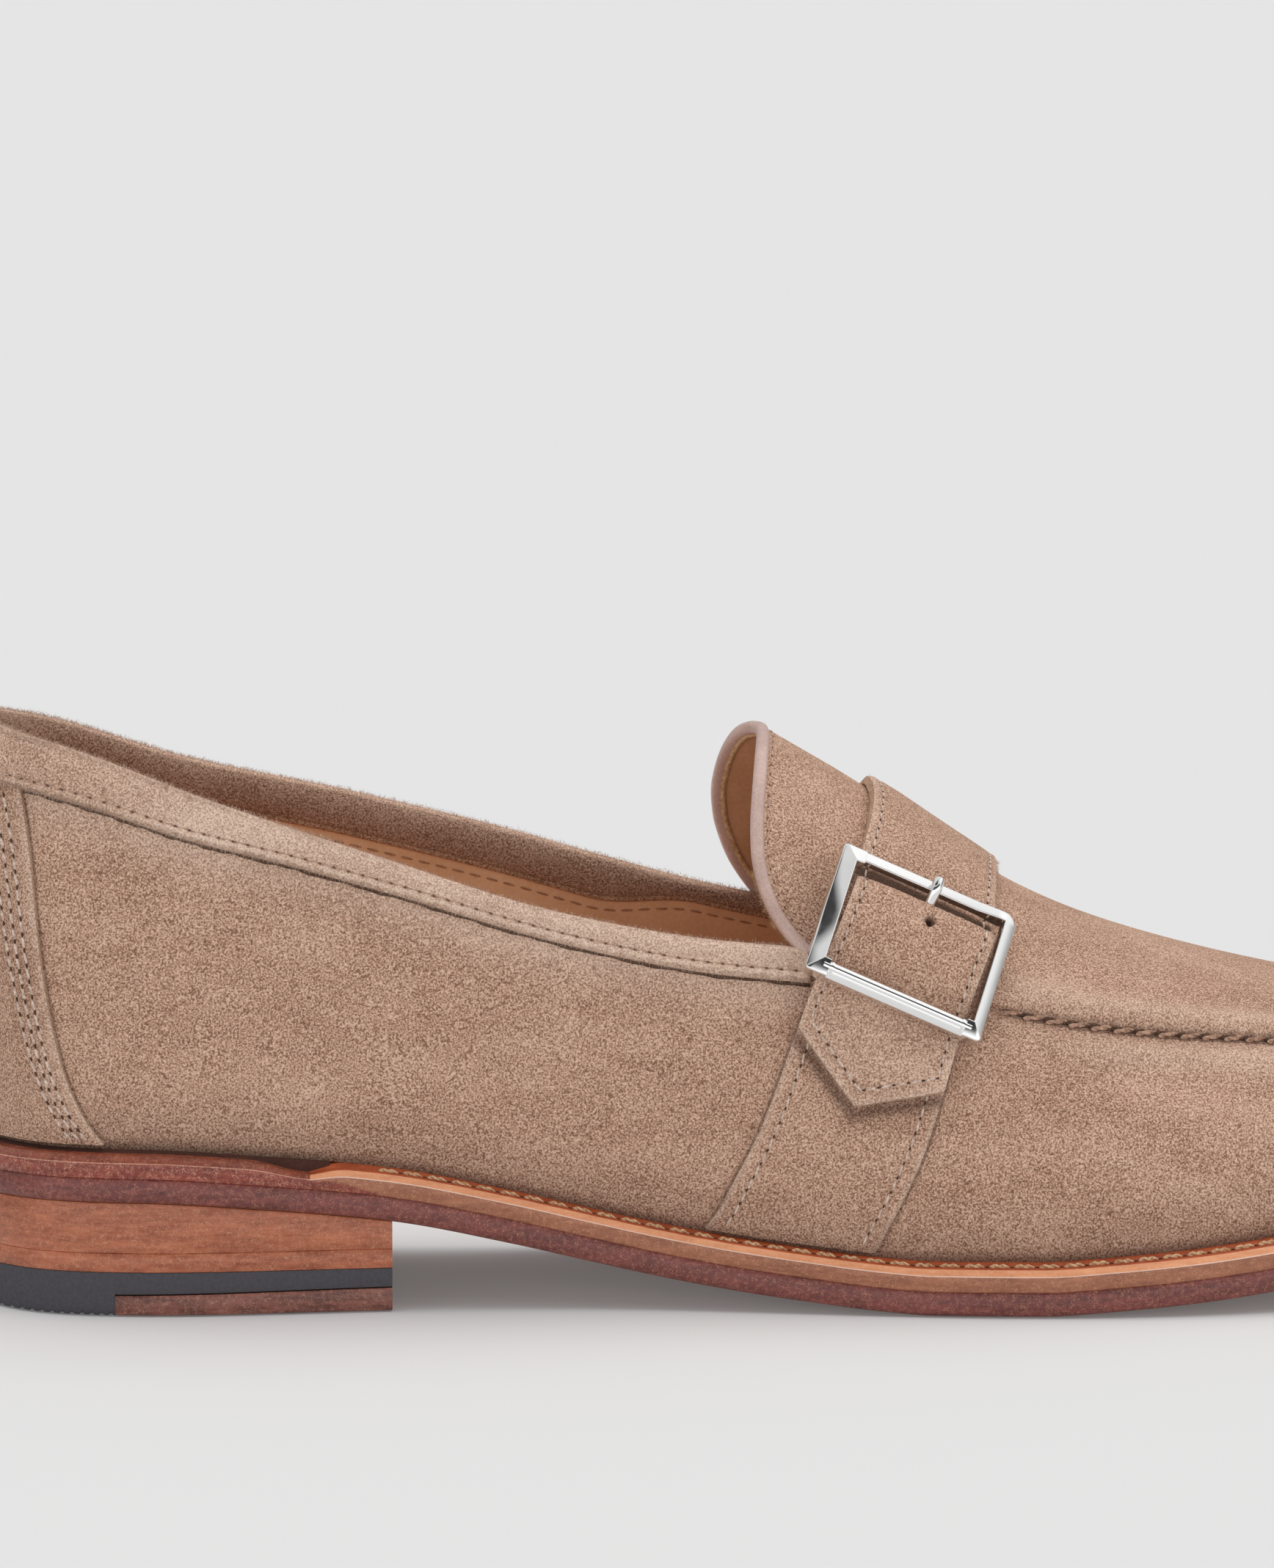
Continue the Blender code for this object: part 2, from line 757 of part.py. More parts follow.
def make_apron_tongue(look, collection):
    share = np.array([0, 0.035, ROLL_PLACE, 0.13, 0.2, 0.32, 0.48, 0.65, 0.82, 1.0])[None]
    along = np.linspace(0, 1, 26)[:, None]
    grids = []
    for side in (-1, 1):
        edge = around_at(tongue_edge[side](share))
        around = edge + (1 - edge) * along
        grids.append((side, around, seam[side](around) + (1 - seam[side](around)) * share))
    points, faces = shell(grids, level(GAP), apron_lift)
    solid("apron_tongue", points, faces, look, collection)


def make_tongue_piping(look, collection):
    middle = GAP + APRON_THICK / 2
    half = np.concatenate([np.linspace(0.07, 0.3, 9), np.linspace(0.36, 1.0, 10)])
    shares = np.concatenate([half, 2 - half[-2::-1]])

    def edge(share):
        side = np.where(share > 1, 1, -1)
        share = np.where(share > 1, 2 - share, share)
        around = around_at(np.where(side < 0, tongue_edge[-1](share), tongue_edge[1](share)))
        foot = np.where(side < 0, seam[-1](around), seam[1](around))
        return side, around, foot + (1 - foot) * share

    side, around, up = edge(shares)
    points = place(side, around, up, middle)
    along = place(*edge(shares + 1e-3), middle) - place(*edge(shares - 1e-3), middle)
    along /= np.linalg.norm(along, axis=1)[:, None]
    out = normal_of(side, around, up)
    back = np.cross(out, along)
    back /= np.linalg.norm(back, axis=1)[:, None]
    out = np.cross(along, back)
    path = points - np.sign(back[:, :1]) * back * (PIPING_RADIUS + PIPING_CLEAR)
    angles = np.linspace(0, 2 * np.pi, 8, endpoint=False)[None, :, None]
    spokes = np.cos(angles) * out[:, None] + np.sin(angles) * back[:, None]
    points, faces = loft(path[:, None] + PIPING_RADIUS * spokes)
    solid("tongue_piping", points, faces, look, collection)


# Strap and saddle

def strap_station(up, across):
    return strap_rear(up) + (strap_front(up) - strap_rear(up)) * across


def make_saddle(look, collection):
    across = np.linspace(0, 1, 6)[None]
    up = np.linspace(SOLE_EDGE_UP, SADDLE_TOP, 10)[:, None] + 0 * across
    around = around_at(strap_station(up, across))
    points, faces = shell([(-1, around, up)], level(GAP), level(GAP + OVERLAY))
    solid("saddle", points, faces, look, collection)


def strap_inner(side, around, up):
    across = (station_at(around) - strap_rear(up)) / (strap_front(up) - strap_rear(up))
    lifts = {half: rear(up) + (front(up) - rear(up)) * across for half, (rear, front) in strap_lift.items()}
    return np.where(side < 0, lifts[-1], lifts[1])


def make_strap(look, collection):
    across = np.linspace(0, 1, 9)[None]
    tip = np.interp(across, column(STRAP_TIP, 0), column(STRAP_TIP, 1))
    along = np.linspace(0, 1, 25)[:, None]
    outer_up = tip + (1 - tip) * along
    inner_up = 1 - (1 - SOLE_EDGE_UP) * np.linspace(0, 1, 19)[:, None] + 0 * across
    grids = [(side, around_at(strap_station(up, across)), up) for side, up in ((-1, outer_up), (1, inner_up))]
    points, faces = shell(
        grids, strap_inner, lambda side, around, up: strap_inner(side, around, up) + STRAP_THICK
    )
    return solid("strap", points, faces, look, collection)


# Buckle

def buckle_axes():
    """Centre of the buckle and its axes: across towards the toe, up the strap, out from the foot."""
    side = np.array(-1)
    around = np.array(float(around_at(BUCKLE_STATION)))
    up = np.array(BUCKLE_UP)
    out = normal_of(side, around, up)
    across, _ = slopes_of(side, around, up)
    across = across - out * (across @ out)
    across /= np.linalg.norm(across)
    upward = np.cross(out, across)
    across, upward = turned(across, upward, BUCKLE_TURN)
    out, across = turned(out, across, BUCKLE_TILT)
    middle = place(side, around, up, BUCKLE_STAND_OFF)
    return middle, np.stack([across, upward, out], 1)


def turned(first, second, angle):
    cosine, sine = np.cos(angle), np.sin(angle)
    return cosine * first + sine * second, cosine * second - sine * first


def in_buckle(points):
    middle, axes = buckle_axes()
    return middle + np.asarray(points, float) @ axes.T


def prism(corners, low, high):
    """Points and faces of a straight prism over a flat outline, in the buckle's own axes."""
    rings = [[(x, y, z) for x, y in corners] for z in (low, high)]
    points, faces = loft(rings)
    return in_buckle(points), faces


def rectangle(left, bottom, right, top):
    return ((left, bottom), (right, bottom), (right, top), (left, top))


def rounded_rectangle(wide, tall, radius):
    corners = []
    for k, (right, above) in enumerate(((1, 1), (-1, 1), (-1, -1), (1, -1))):
        x, y = right * (wide / 2 - radius), above * (tall / 2 - radius)
        for angle in np.linspace(0, np.pi / 2, 4) + k * np.pi / 2:
            corners.append((x + radius * np.cos(angle), y + radius * np.sin(angle)))
    return corners


def rod(path, radius, sides=8):
    """Points and faces of a round rod along a path in the buckle's own axes."""
    path = np.asarray(path, float)
    along = np.gradient(path, axis=0)
    along /= np.linalg.norm(along, axis=1)[:, None]
    guide = np.array([0.0, 0.0, 1.0]) if abs(along[0][0]) > 0.9 else np.array([1.0, 0.0, 0.0])
    first = np.cross(along, guide)
    first /= np.linalg.norm(first, axis=1)[:, None]
    second = np.cross(along, first)
    angles = np.linspace(0, 2 * np.pi, sides, endpoint=False)[None, :, None]
    spokes = np.cos(angles) * first[:, None] + np.sin(angles) * second[:, None]
    points, faces = loft(path[:, None] + radius * spokes)
    return in_buckle(points), faces


def boolean(target, operation, other):
    step = target.modifiers.new(f"{operation.lower()} {other.name}", "BOOLEAN")
    step.operation = operation
    step.solver = "EXACT"
    step.object = other


def make_buckle_frame(look, collection, cutters):
    half_wide, half_tall = BUCKLE_WIDE / 2, BUCKLE_TALL / 2
    inner_half = half_wide - SIDE_BAR
    low_edge, high_edge = -half_tall + BOTTOM_BAR, half_tall - TOP_BAR
    far = 5.0
    top_space = rectangle(-inner_half, high_edge - 1, inner_half, half_tall + far)
    bottom_space = rectangle(-inner_half, -half_tall - far, inner_half, low_edge + 1)
    corners = rounded_rectangle(BUCKLE_WIDE, BUCKLE_TALL, BUCKLE_CORNER)
    points, faces = prism(corners, -BUCKLE_HALF_THICK, BUCKLE_HALF_THICK)
    frame = solid("buckle_frame", points, faces, look, collection)
    cuts = {
        "window": (rectangle(-inner_half, low_edge, inner_half, high_edge), -far, far),
        "under_top_bar": (top_space, -far, -TOP_BAR_HALF_THICK),
        "over_top_bar": (top_space, TOP_BAR_HALF_THICK, far),
        "under_bottom_bar": (bottom_space, -far, BOTTOM_BAR_UNDER),
    }
    for name, (corners, low, high) in cuts.items():
        points, faces = prism(corners, low, high)
        boolean(frame, "DIFFERENCE", solid("buckle_" + name, points, faces, look, cutters))
    bevel = frame.modifiers.new("softened edges", "BEVEL")
    bevel.width = BUCKLE_BEVEL * MM
    bevel.segments = 2
    bevel.limit_method = "ANGLE"
    bevel.angle_limit = np.radians(40)


def prong_path():
    """From the hinge bar, up through the strap and over the top bar."""
    over = TOP_BAR_HALF_THICK + GAP + PRONG_RADIUS
    bar = BUCKLE_TALL / 2 - TOP_BAR / 2
    rising = ((0.0, HINGE_OUT), (3.5, HINGE_OUT + 0.2), (6.0, -0.6), (8.0, 1.2))
    resting = ((bar - 1.2, over), (bar + 1.4, over))
    return [(PRONG_ACROSS, up, out) for up, out in rising + resting]


def make_buckle_prong(look, collection, cutters):
    """The prong, fixed to its hinge bar. Returns a slightly larger copy that cuts the strap's hole."""
    half = BUCKLE_WIDE / 2 - SIDE_BAR - GAP
    points, faces = rod(prong_path(), PRONG_RADIUS)
    prong = solid("buckle_prong", points, faces, look, collection)
    points, faces = rod([(-half, 0, HINGE_OUT), (0, 0, HINGE_OUT), (half, 0, HINGE_OUT)], HINGE_RADIUS)
    boolean(prong, "UNION", solid("buckle_hinge", points, faces, look, cutters))
    points, faces = rod(prong_path(), PRONG_RADIUS + GAP)
    return solid("prong_hole", points, faces, look, cutters)


def main():
    clear_scene()
    shoe = new_collection("monk strap loafer")
    cutters = new_collection("cutters")
    suede = material("suede", SUEDE, 0.95)
    lining = material("lining leather", LINING, 0.6)
    sole_leather = material("sole leather", SOLE_LEATHER, 0.5)
    lift_leather = material("stacked leather", LIFT_LEATHER, 0.5)
    steel = material("polished metal", METAL, 0.15, 1.0)

    make_outsole(sole_leather, shoe)
    make_welt(material("welt leather", WELT_LEATHER, 0.5), shoe)
    make_heel_rand(sole_leather, shoe)
    make_heel(lift_leather, material("rubber", RUBBER, 0.8), sole_leather, shoe)
    make_insole(lining, shoe)

    make_upper(suede, shoe)
    make_heel_counter(suede, shoe)
    make_collar_band(suede, shoe)
    make_apron_tongue(suede, shoe)
    make_tongue_piping(material("piping leather", PIPING, 0.5), shoe)
    make_saddle(suede, shoe)

    strap = make_strap(suede, shoe)
    make_buckle_frame(steel, shoe, cutters)
    boolean(strap, "DIFFERENCE", make_buckle_prong(steel, shoe, cutters))

    for helper in cutters.objects:
        helper.hide_render = True
        helper.display_type = "WIRE"


main()
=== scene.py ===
"""Looks of the right monk strap loafer: suede, linings, threads, sole leathers and metal over the solids.

Lengths are in millimetres until new_piece() turns them into metres. A station is measured along the shoe
from the back of the heel to the toe. Side is -1 for the outer half, where the buckle sits, and +1 for the
inner half. Around is a station turned into an angle-like share, 0 at the heel and 1 at the toe. Up runs
along a rib of the last from the edge of the sole, 0, to the ridge over the foot, 1. Lift is the distance
outwards from the last.
"""

import bmesh
import bpy
import numpy as np
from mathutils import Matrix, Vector
from mathutils.kdtree import KDTree


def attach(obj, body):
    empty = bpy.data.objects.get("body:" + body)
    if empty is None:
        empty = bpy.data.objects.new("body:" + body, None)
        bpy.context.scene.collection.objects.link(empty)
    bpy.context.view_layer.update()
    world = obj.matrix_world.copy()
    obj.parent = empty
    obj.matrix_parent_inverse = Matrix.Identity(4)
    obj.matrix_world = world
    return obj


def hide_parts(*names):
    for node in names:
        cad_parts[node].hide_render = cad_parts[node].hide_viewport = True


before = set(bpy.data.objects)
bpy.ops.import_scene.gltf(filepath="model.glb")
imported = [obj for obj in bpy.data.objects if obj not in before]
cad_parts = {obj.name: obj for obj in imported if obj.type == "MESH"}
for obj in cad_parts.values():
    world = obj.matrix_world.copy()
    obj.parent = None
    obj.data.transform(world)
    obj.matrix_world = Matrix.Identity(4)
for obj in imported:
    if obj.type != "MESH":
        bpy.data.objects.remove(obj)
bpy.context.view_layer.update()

MM = 0.001

# Driving sizes, the same as the solids'
LENGTH = 296.0
GAP = 0.3
OUTSOLE_THICK = 4.1
STACK = 8.1
WALL = 2.0
OVERLAY = 1.0
APRON_THICK = 1.2
STRAP_THICK = 2.0
THROAT = 140.0
BAND_INSIDE = 6.5
BAND_CROWN = 2.1
WELT_START = 58.0
SOLE_EDGE_UP = 0.012
SADDLE_TOP = 0.40
ROLL_START = 173.0
BREAST = 72.0
HEEL_INSET = 0.9
TIP_START = 26.0
TIP_HEIGHT = 3.3
TIP_RISE = 0.6
RUBBER_TOP = 7.2
LOWER_LIFT_TOP = 10.4

# Outline of the sole: station, outer half, inner half
OUTLINE = (
    (0, 0.0, 0.0), (5, -17.0, 17.0), (12, -25.6, 25.6), (25, -31.5, 31.3), (38, -33.3, 32.8),
    (55, -33.1, 32.0), (72, -32.6, 30.2), (90, -33.0, 28.2), (105, -34.3, 27.4), (120, -37.0, 29.0),
    (140, -42.0, 34.0), (160, -47.0, 40.8), (180, -50.3, 46.8), (198, -51.0, 50.2),
    (218, -48.9, 51.0), (236, -44.2, 49.6), (255, -36.3, 45.2), (272, -25.8, 38.3),
    (284, -15.3, 30.6), (292, -5.6, 21.6), (296, 8.0, 8.0),
)

# Underside of the outsole: station, height above the floor
UNDERSIDE = (
    (0, 19.0), (30, 18.8), (55, 17.0), (72, 15.0), (92, 10.9), (104, 8.1), (116, 5.5), (128, 3.4),
    (140, 1.8), (152, 0.5), (160, 0.0), (178, 0.0), (190, 0.7), (205, 1.9), (220, 3.6), (240, 6.4),
    (260, 9.4), (280, 12.7), (296, 15.5),
)

# How far the upper stands in from the outline: station, inset
INSET = ((0, 4.4), (72, 4.6), (150, 5.0), (230, 5.0), (296, 5.2))

# Ridge of the last: station on the ridge, sideways place, height
RIDGE = (
    (40, 0.0, 150.0), (70, 0.3, 148.0), (95, 0.6, 131.0), (120, 1.0, 104.0), (138, 1.6, 91.0),
    (153, 2.0, 82.0), (166, 2.4, 73.2), (178, 2.8, 65.5), (190, 3.2, 59.7), (204, 4.0, 54.8),
    (226, 5.4, 49.0), (245, 6.8, 45.0), (264, 8.0, 41.0),
)

# Ribs of the last: station, bulge, rise and shoulder of the outer half, the same three of the inner half,
# then how far the rib's shoulder drops below the ridge
RIBS = (
    (0, 2.5, 27.0, 1.40, 2.5, 27.0, 1.40, 26.0),
    (30, 5.0, 26.0, 1.00, 5.0, 26.0, 1.00, 56.0),
    (72, 5.0, 28.0, 0.90, 6.0, 30.0, 0.90, 51.0),
    (110, 7.0, 27.0, 0.85, 8.0, 29.0, 0.85, 12.0),
    (140, 6.0, 28.0, 0.55, 7.0, 29.0, 0.55, 0.0),
    (175, 5.0, 24.0, 0.50, 5.5, 25.0, 0.50, 0.0),
    (205, 4.5, 20.0, 0.50, 5.0, 21.0, 0.50, 0.0),
    (250, 4.0, 16.0, 0.55, 4.0, 17.0, 0.55, 0.0),
    (296, 4.0, 13.0, 0.62, 4.0, 13.0, 0.62, 0.0),
)

# Finished top edge of the collar: station on the edge, height of the outer half, height of the inner half
TOPLINE = (
    (4, 97.5, 97.5), (20, 93.2, 93.4), (42, 85.0, 86.3), (71, 74.9, 80.0), (97, 66.4, 73.5),
    (112, 63.1, 69.0), (126, 60.8, 65.0), (142, 59.2, 61.0),
)

# Seam between the apron and the side of the vamp: station, up
SEAM = (
    (173, 0.511), (190, 0.533), (207, 0.553), (227, 0.570), (250, 0.575), (272, 0.583),
    (286, 0.615), (296, 0.700),
)

# Rear edge of the tongue: share of the way from the seam to the ridge, station of the outer half,
# station of the inner half
TONGUE_EDGE = (
    (0.0, 141.8, 141.8), (0.05, 137.6, 138.3), (0.1, 134.9, 135.5), (0.16, 132.9, 133.0),
    (0.23, 131.5, 131.0), (0.3, 130.8, 129.5), (0.45, 130.4, 127.9), (0.6, 130.4, 127.6),
    (0.75, 130.35, 127.8), (0.9, 130.1, 128.6), (1.0, 129.3, 129.3),
)

# Strap and the saddle below it: up, station of the rear edge, station of the front edge
STRAP = (
    (0.0, 122.2, 149.8), (0.05, 125.0, 151.8), (0.1, 127.2, 154.0), (0.2, 131.7, 158.0),
    (0.3, 135.3, 161.3), (0.4, 138.8, 164.3), (0.5, 142.6, 167.6), (0.6, 145.7, 170.9),
    (0.7, 148.3, 173.6), (0.8, 150.3, 175.8), (0.9, 151.3, 178.0), (1.0, 151.0, 180.4),
)

# Inner face of the strap on the outer half, where it bulges inside the buckle and dives under the top bar:
# up, lift at its rear edge, lift at its front edge
STRAP_LIFT_OUTER = (
    (0.25, 2.2, 2.0), (0.33, 2.4, 1.7), (0.39, 3.0, 1.6), (0.445, 4.2, 1.5), (0.48, 5.8, 3.2),
    (0.525, 6.9, 4.8), (0.57, 7.1, 5.6), (0.598, 6.8, 5.7), (0.612, 5.9, 5.1), (0.624, 3.4, 3.1),
    (0.636, 2.2, 2.3), (0.67, 2.0, 2.05), (0.72, 1.95, 1.95), (0.8, 1.9, 1.9), (1.0, 1.85, 1.85),
)

# The same on the inner half, where it leaves the apron and lies on the vamp
STRAP_LIFT_INNER = (
    (0.0, 0.3, 0.3), (0.34, 0.3, 0.3), (0.44, 1.2, 1.2), (0.52, 1.85, 1.85), (1.0, 1.85, 1.85),
)

# The shadow under the top bar: up where it starts and ends on the strap, softness of its ends, strength
DIVE_START, DIVE_END, DIVE_SOFT, DIVE_SHADE = 0.616, 0.664, 0.012, 0.9

# Tip of the strap: share of the way across it from rear to front, up
STRAP_TIP = ((0.0, 0.361), (0.5, 0.259), (1.0, 0.314))

# Front edge of the heel counter: share of the way from the sole to the collar band, station
COUNTER_EDGE = (
    (0.0, 23.9), (0.08, 21.5), (0.17, 19.5), (0.28, 17.7), (0.54, 14.7), (0.83, 11.6), (1.0, 8.7),
)

# Depth of the collar band on the outside: station, depth
BAND_DEPTH = ((0, 9.2), (32, 8.0), (58, 6.0), (92, 5.0), (120, 5.7), (140, 6.3))

# Section of the collar band, from its lower lip over the crown to its inside edge: how the place is
# measured (up from the lip, or down from the top edge), distance, lift
BAND_SECTION = (
    ("lip", 0.1, 0.05), ("lip", -0.12, 0.5), ("lip", 0.05, 1.0), ("lip", 0.5, 1.42),
    ("lip", 1.0, 1.5), ("lip", 1.4, 1.3), ("lip", 1.65, 1.08), ("lip", 1.95, 1.22),
    ("lip", 2.6, 1.5), ("top", 2.2, 1.7), ("top", 1.2, 1.45), ("top", 0.45, 0.8),
    ("top", 0.0, -0.5), ("top", 0.1, -1.7), ("top", 0.6, -2.7), ("top", 1.6, -3.35),
    ("top", 3.0, -3.65), ("top", 4.6, -3.55), ("top", 5.8, -3.2), ("top", 6.4, -2.75),
    ("top", 6.5, -2.2),
)
BAND_STITCH = 1.65

# Where the band ends: tucked a little further under the buckle than its solid
BAND_REACH = 139.6

# The band's inside: least depth, station where it starts to narrow and the length of that, then the
# distance below the top edge and the lift where it turns down
INSIDE_LEAST = 2.5
NARROW_START, NARROW_FADE = 110, 17
INSIDE_TURN, INSIDE_LIFT = 0.65, -2.7


# Curves through the tables

def column(table, index):
    return np.array([row[index] for row in table], float)


def within(places, place):
    """A place kept inside the known ones, and the number of the step that it lies in."""
    place = np.clip(np.asarray(place, float), places[0], places[-1])
    return place, np.clip(np.searchsorted(places, place, side="right") - 1, 0, len(places) - 2)


def steady_curve(places, values):
    """A curve through the values that never overshoots them, so that flat runs stay flat."""
    steps = np.diff(places)
    rates = np.diff(values) / steps
    slopes = np.zeros(len(places))
    slopes[0], slopes[-1] = rates[0], rates[-1]
    for k in range(1, len(places) - 1):
        if rates[k - 1] * rates[k] > 0:
            before = 2 * steps[k] + steps[k - 1]
            after = steps[k] + 2 * steps[k - 1]
            slopes[k] = (before + after) / (before / rates[k - 1] + after / rates[k])

    def at(place):
        place, k = within(places, place)
        t = (place - places[k]) / steps[k]
        ends = (1 + 2 * t) * (1 - t) ** 2 * values[k] + t * t * (3 - 2 * t) * values[k + 1]
        bends = t * (1 - t) ** 2 * slopes[k] + t * t * (t - 1) * slopes[k + 1]
        return ends + bends * steps[k]

    return at


def smooth_curve(places, values):
    """A natural cubic spline through the values."""
    count = len(places)
    steps = np.diff(places)
    rates = np.diff(values) / steps
    matrix = np.eye(count)
    right = np.zeros(count)
    for k in range(1, count - 1):
        matrix[k, k - 1 : k + 2] = steps[k - 1], 2 * (steps[k - 1] + steps[k]), steps[k]
        right[k] = 6 * (rates[k] - rates[k - 1])
    bends = np.linalg.solve(matrix, right)

    def at(place):
        place, k = within(places, place)
        ahead, behind = places[k + 1] - place, place - places[k]
        cubes = (bends[k] * ahead**3 + bends[k + 1] * behind**3) / (6 * steps[k])
        left = values[k] / steps[k] - bends[k] * steps[k] / 6
        far = values[k + 1] / steps[k] - bends[k + 1] * steps[k] / 6
        return cubes + left * ahead + far * behind

    return at


def steady(table, index=1):
    return steady_curve(column(table, 0), column(table, index))


def smooth(table, index):
    return smooth_curve(column(table, 0), column(table, index))


def around_at(station):
    return np.arccos(np.clip(1 - 2 * np.asarray(station, float) / LENGTH, -1, 1)) / np.pi


def station_at(around):
    return LENGTH * (1 - np.cos(np.pi * np.asarray(around, float))) / 2


def eased(value):
    """0 below 0, 1 above 1, and a soft step between."""
    value = np.clip(value, 0, 1)
    return value * value * (3 - 2 * value)


def bump(distance, width):
    return np.exp(-((distance / width) ** 2))


half_outline = {
    -1: smooth_curve(around_at(column(OUTLINE, 0)), column(OUTLINE, 1)),
    1: smooth_curve(around_at(column(OUTLINE, 0)), column(OUTLINE, 2)),
}
underside = steady(UNDERSIDE)
inset = steady(INSET)
ridge_side, ridge_height = smooth(RIDGE, 1), smooth(RIDGE, 2)
rib_columns = {-1: [steady(RIBS, k) for k in (1, 2, 3)], 1: [steady(RIBS, k) for k in (4, 5, 6)]}
crown_drop = steady(RIBS, 7)
topline = {-1: steady(TOPLINE, 1), 1: steady(TOPLINE, 2)}
tongue_edge = {-1: steady(TONGUE_EDGE, 1), 1: steady(TONGUE_EDGE, 2)}
strap_rear, strap_front = steady(STRAP, 1), steady(STRAP, 2)
strap_lift = [(steady(table, 1), steady(table, 2)) for table in (STRAP_LIFT_OUTER, STRAP_LIFT_INNER)]
counter_edge = steady(COUNTER_EDGE)
band_depth = steady(BAND_DEPTH)
widest = [half_outline[half](np.linspace(0, 1, 400)) for half in (-1, 1)]
CENTRE = np.array([LENGTH / 2, (widest[0].min() + widest[1].max()) / 2, 0.0])


# The last

def outline(side, around, inward):
    """Points of the sole's outline, moved inward square to it."""

    def edge(share):
        over_heel, over_toe = share < 0, share > 1
        own = half_outline[side](np.clip(share, 0, 1))
        other = half_outline[-side](np.where(over_toe, 2 - share, -share))
        return station_at(share), np.where(over_heel | over_toe, other, own)

    step = 1e-4
    x, y = edge(around)
    x_after, y_after = edge(around + step)
    x_before, y_before = edge(around - step)
    along_x, along_y = x_after - x_before, y_after - y_before
    length = np.hypot(along_x, along_y)
    return x + side * inward * along_y / length, y - side * inward * along_x / length


def rib_point(side, around, up):
    """Points of one half of the last: a rib springs from the sole, bulges, and bends over to the ridge."""
    around, up = np.broadcast_arrays(np.asarray(around, float), np.asarray(up, float))
    station = station_at(around)
    foot_x, foot_y = outline(side, around, inset(station))
    foot_z = underside(foot_x) + STACK + GAP
    first, last = RIDGE[0][0], RIDGE[-1][0]
    top_x = first + (last - first) * station / LENGTH
    top_y, top_z = ridge_side(top_x), ridge_height(top_x)
    before, after = np.maximum(top_x - 0.5, first), np.minimum(top_x + 0.5, last)
    slope = (ridge_height(after) - ridge_height(before)) / (after - before)
    reach = np.hypot(foot_x - top_x, foot_y - top_y)
    out_x, out_y = (foot_x - top_x) / reach, (foot_y - top_y) / reach
    bulge, rise, shoulder = (values(station) for values in rib_columns[side])
    width = shoulder * reach
    shoulder_z = top_z + slope * out_x * width - crown_drop(station)
    corners = (
        (foot_x, foot_y, foot_z),
        (foot_x + out_x * bulge, foot_y + out_y * bulge, foot_z + rise),
        (top_x + out_x * width, top_y + out_y * width, shoulder_z),
        (top_x, top_y, top_z),
    )
    shares = ((1 - up) ** 3, 3 * up * (1 - up) ** 2, 3 * up * up * (1 - up), up**3)
    return sum(share[..., None] * np.stack(corner, -1) for share, corner in zip(shares, corners))


def last_point(side, around, up):
    """Points of the whole last: past the heel, the toe or the ridge the other half carries on."""
    side, around, up = np.broadcast_arrays(side, np.asarray(around, float), np.asarray(up, float))
    other = (around < 0) ^ (around > 1) ^ (up > 1)
    side = np.where(other, -side, side)
    around = np.abs(around)
    around = np.where(around > 1, 2 - around, around)
    up = np.where(up > 1, 2 - up, up)
    return np.where((side < 0)[..., None], rib_point(-1, around, up), rib_point(1, around, up))


def slopes_of(side, around, up):
    step = 1e-3
    along = last_point(side, around + step, up) - last_point(side, around - step, up)
    upward = last_point(side, around, up + step) - last_point(side, around, up - step)
    return along / (2 * step), upward / (2 * step)


def unit(vectors):
    return vectors / np.linalg.norm(vectors, axis=-1, keepdims=True)


def normal_of(side, around, up):
    # The ridge ends on the toe's rib, so the normal of that end is read a little below it.
    up = np.where(np.asarray(around) > 0.995, np.minimum(up, 0.97), up)
    along, upward = slopes_of(side, around, up)
    return unit(np.cross(along, upward) * -np.asarray(side, float)[..., None])


def place(side, around, up, lift):
    side, around, up, lift = np.broadcast_arrays(side, around, up, lift)
    return last_point(side, around, up) + np.asarray(lift, float)[..., None] * normal_of(side, around, up)


def by_side(values, side, around):
    """values(side, around) for arrays of both sides, where a negative around lies on the other side."""
    side = np.where(around < 0, -side, side)
    return np.where(side < 0, values(-1, np.abs(around)), values(1, np.abs(around)))


def rib_length(side, around, up):
    """Millimetres along a rib for one unit of up."""
    _, upward = slopes_of(side, around, up)
    return np.linalg.norm(upward, axis=-1)


def below(side, around, up, distance):
    """The up that lies this far down a rib."""
    return up - distance / rib_length(side, around, up)


def top_up(side, around):
    """Where each rib meets the finished top edge of the collar, found by halving."""
    low, high = np.zeros_like(around), np.ones_like(around)
    for _ in range(40):
        middle = (low + high) / 2
        point = rib_point(side, around, middle)
        above = point[..., 2] > topline[side](point[..., 0])
        low, high = np.where(above, low, middle), np.where(above, middle, high)
    return (low + high) / 2


def wall_up(side, around):
    return below(np.full_like(around, side), around, top_up(side, around), BAND_CROWN)


def band_foot_up(side, around):
    return below(np.full_like(around, side), around, top_up(side, around), band_depth(station_at(around)))


def seam_curve(side):
    throat = np.array([around_at(THROAT)])
    places = np.concatenate([throat, around_at(column(SEAM, 0))])
    return steady_curve(places, np.concatenate([wall_up(side, throat), column(SEAM, 1)]))


seam = {-1: seam_curve(-1), 1: seam_curve(1)}


def seam_at(side, around):
    return np.where(side < 0, seam[-1](around), seam[1](around))


# Making pieces

# Points closer than this are merged
MERGE = 0.002 * MM


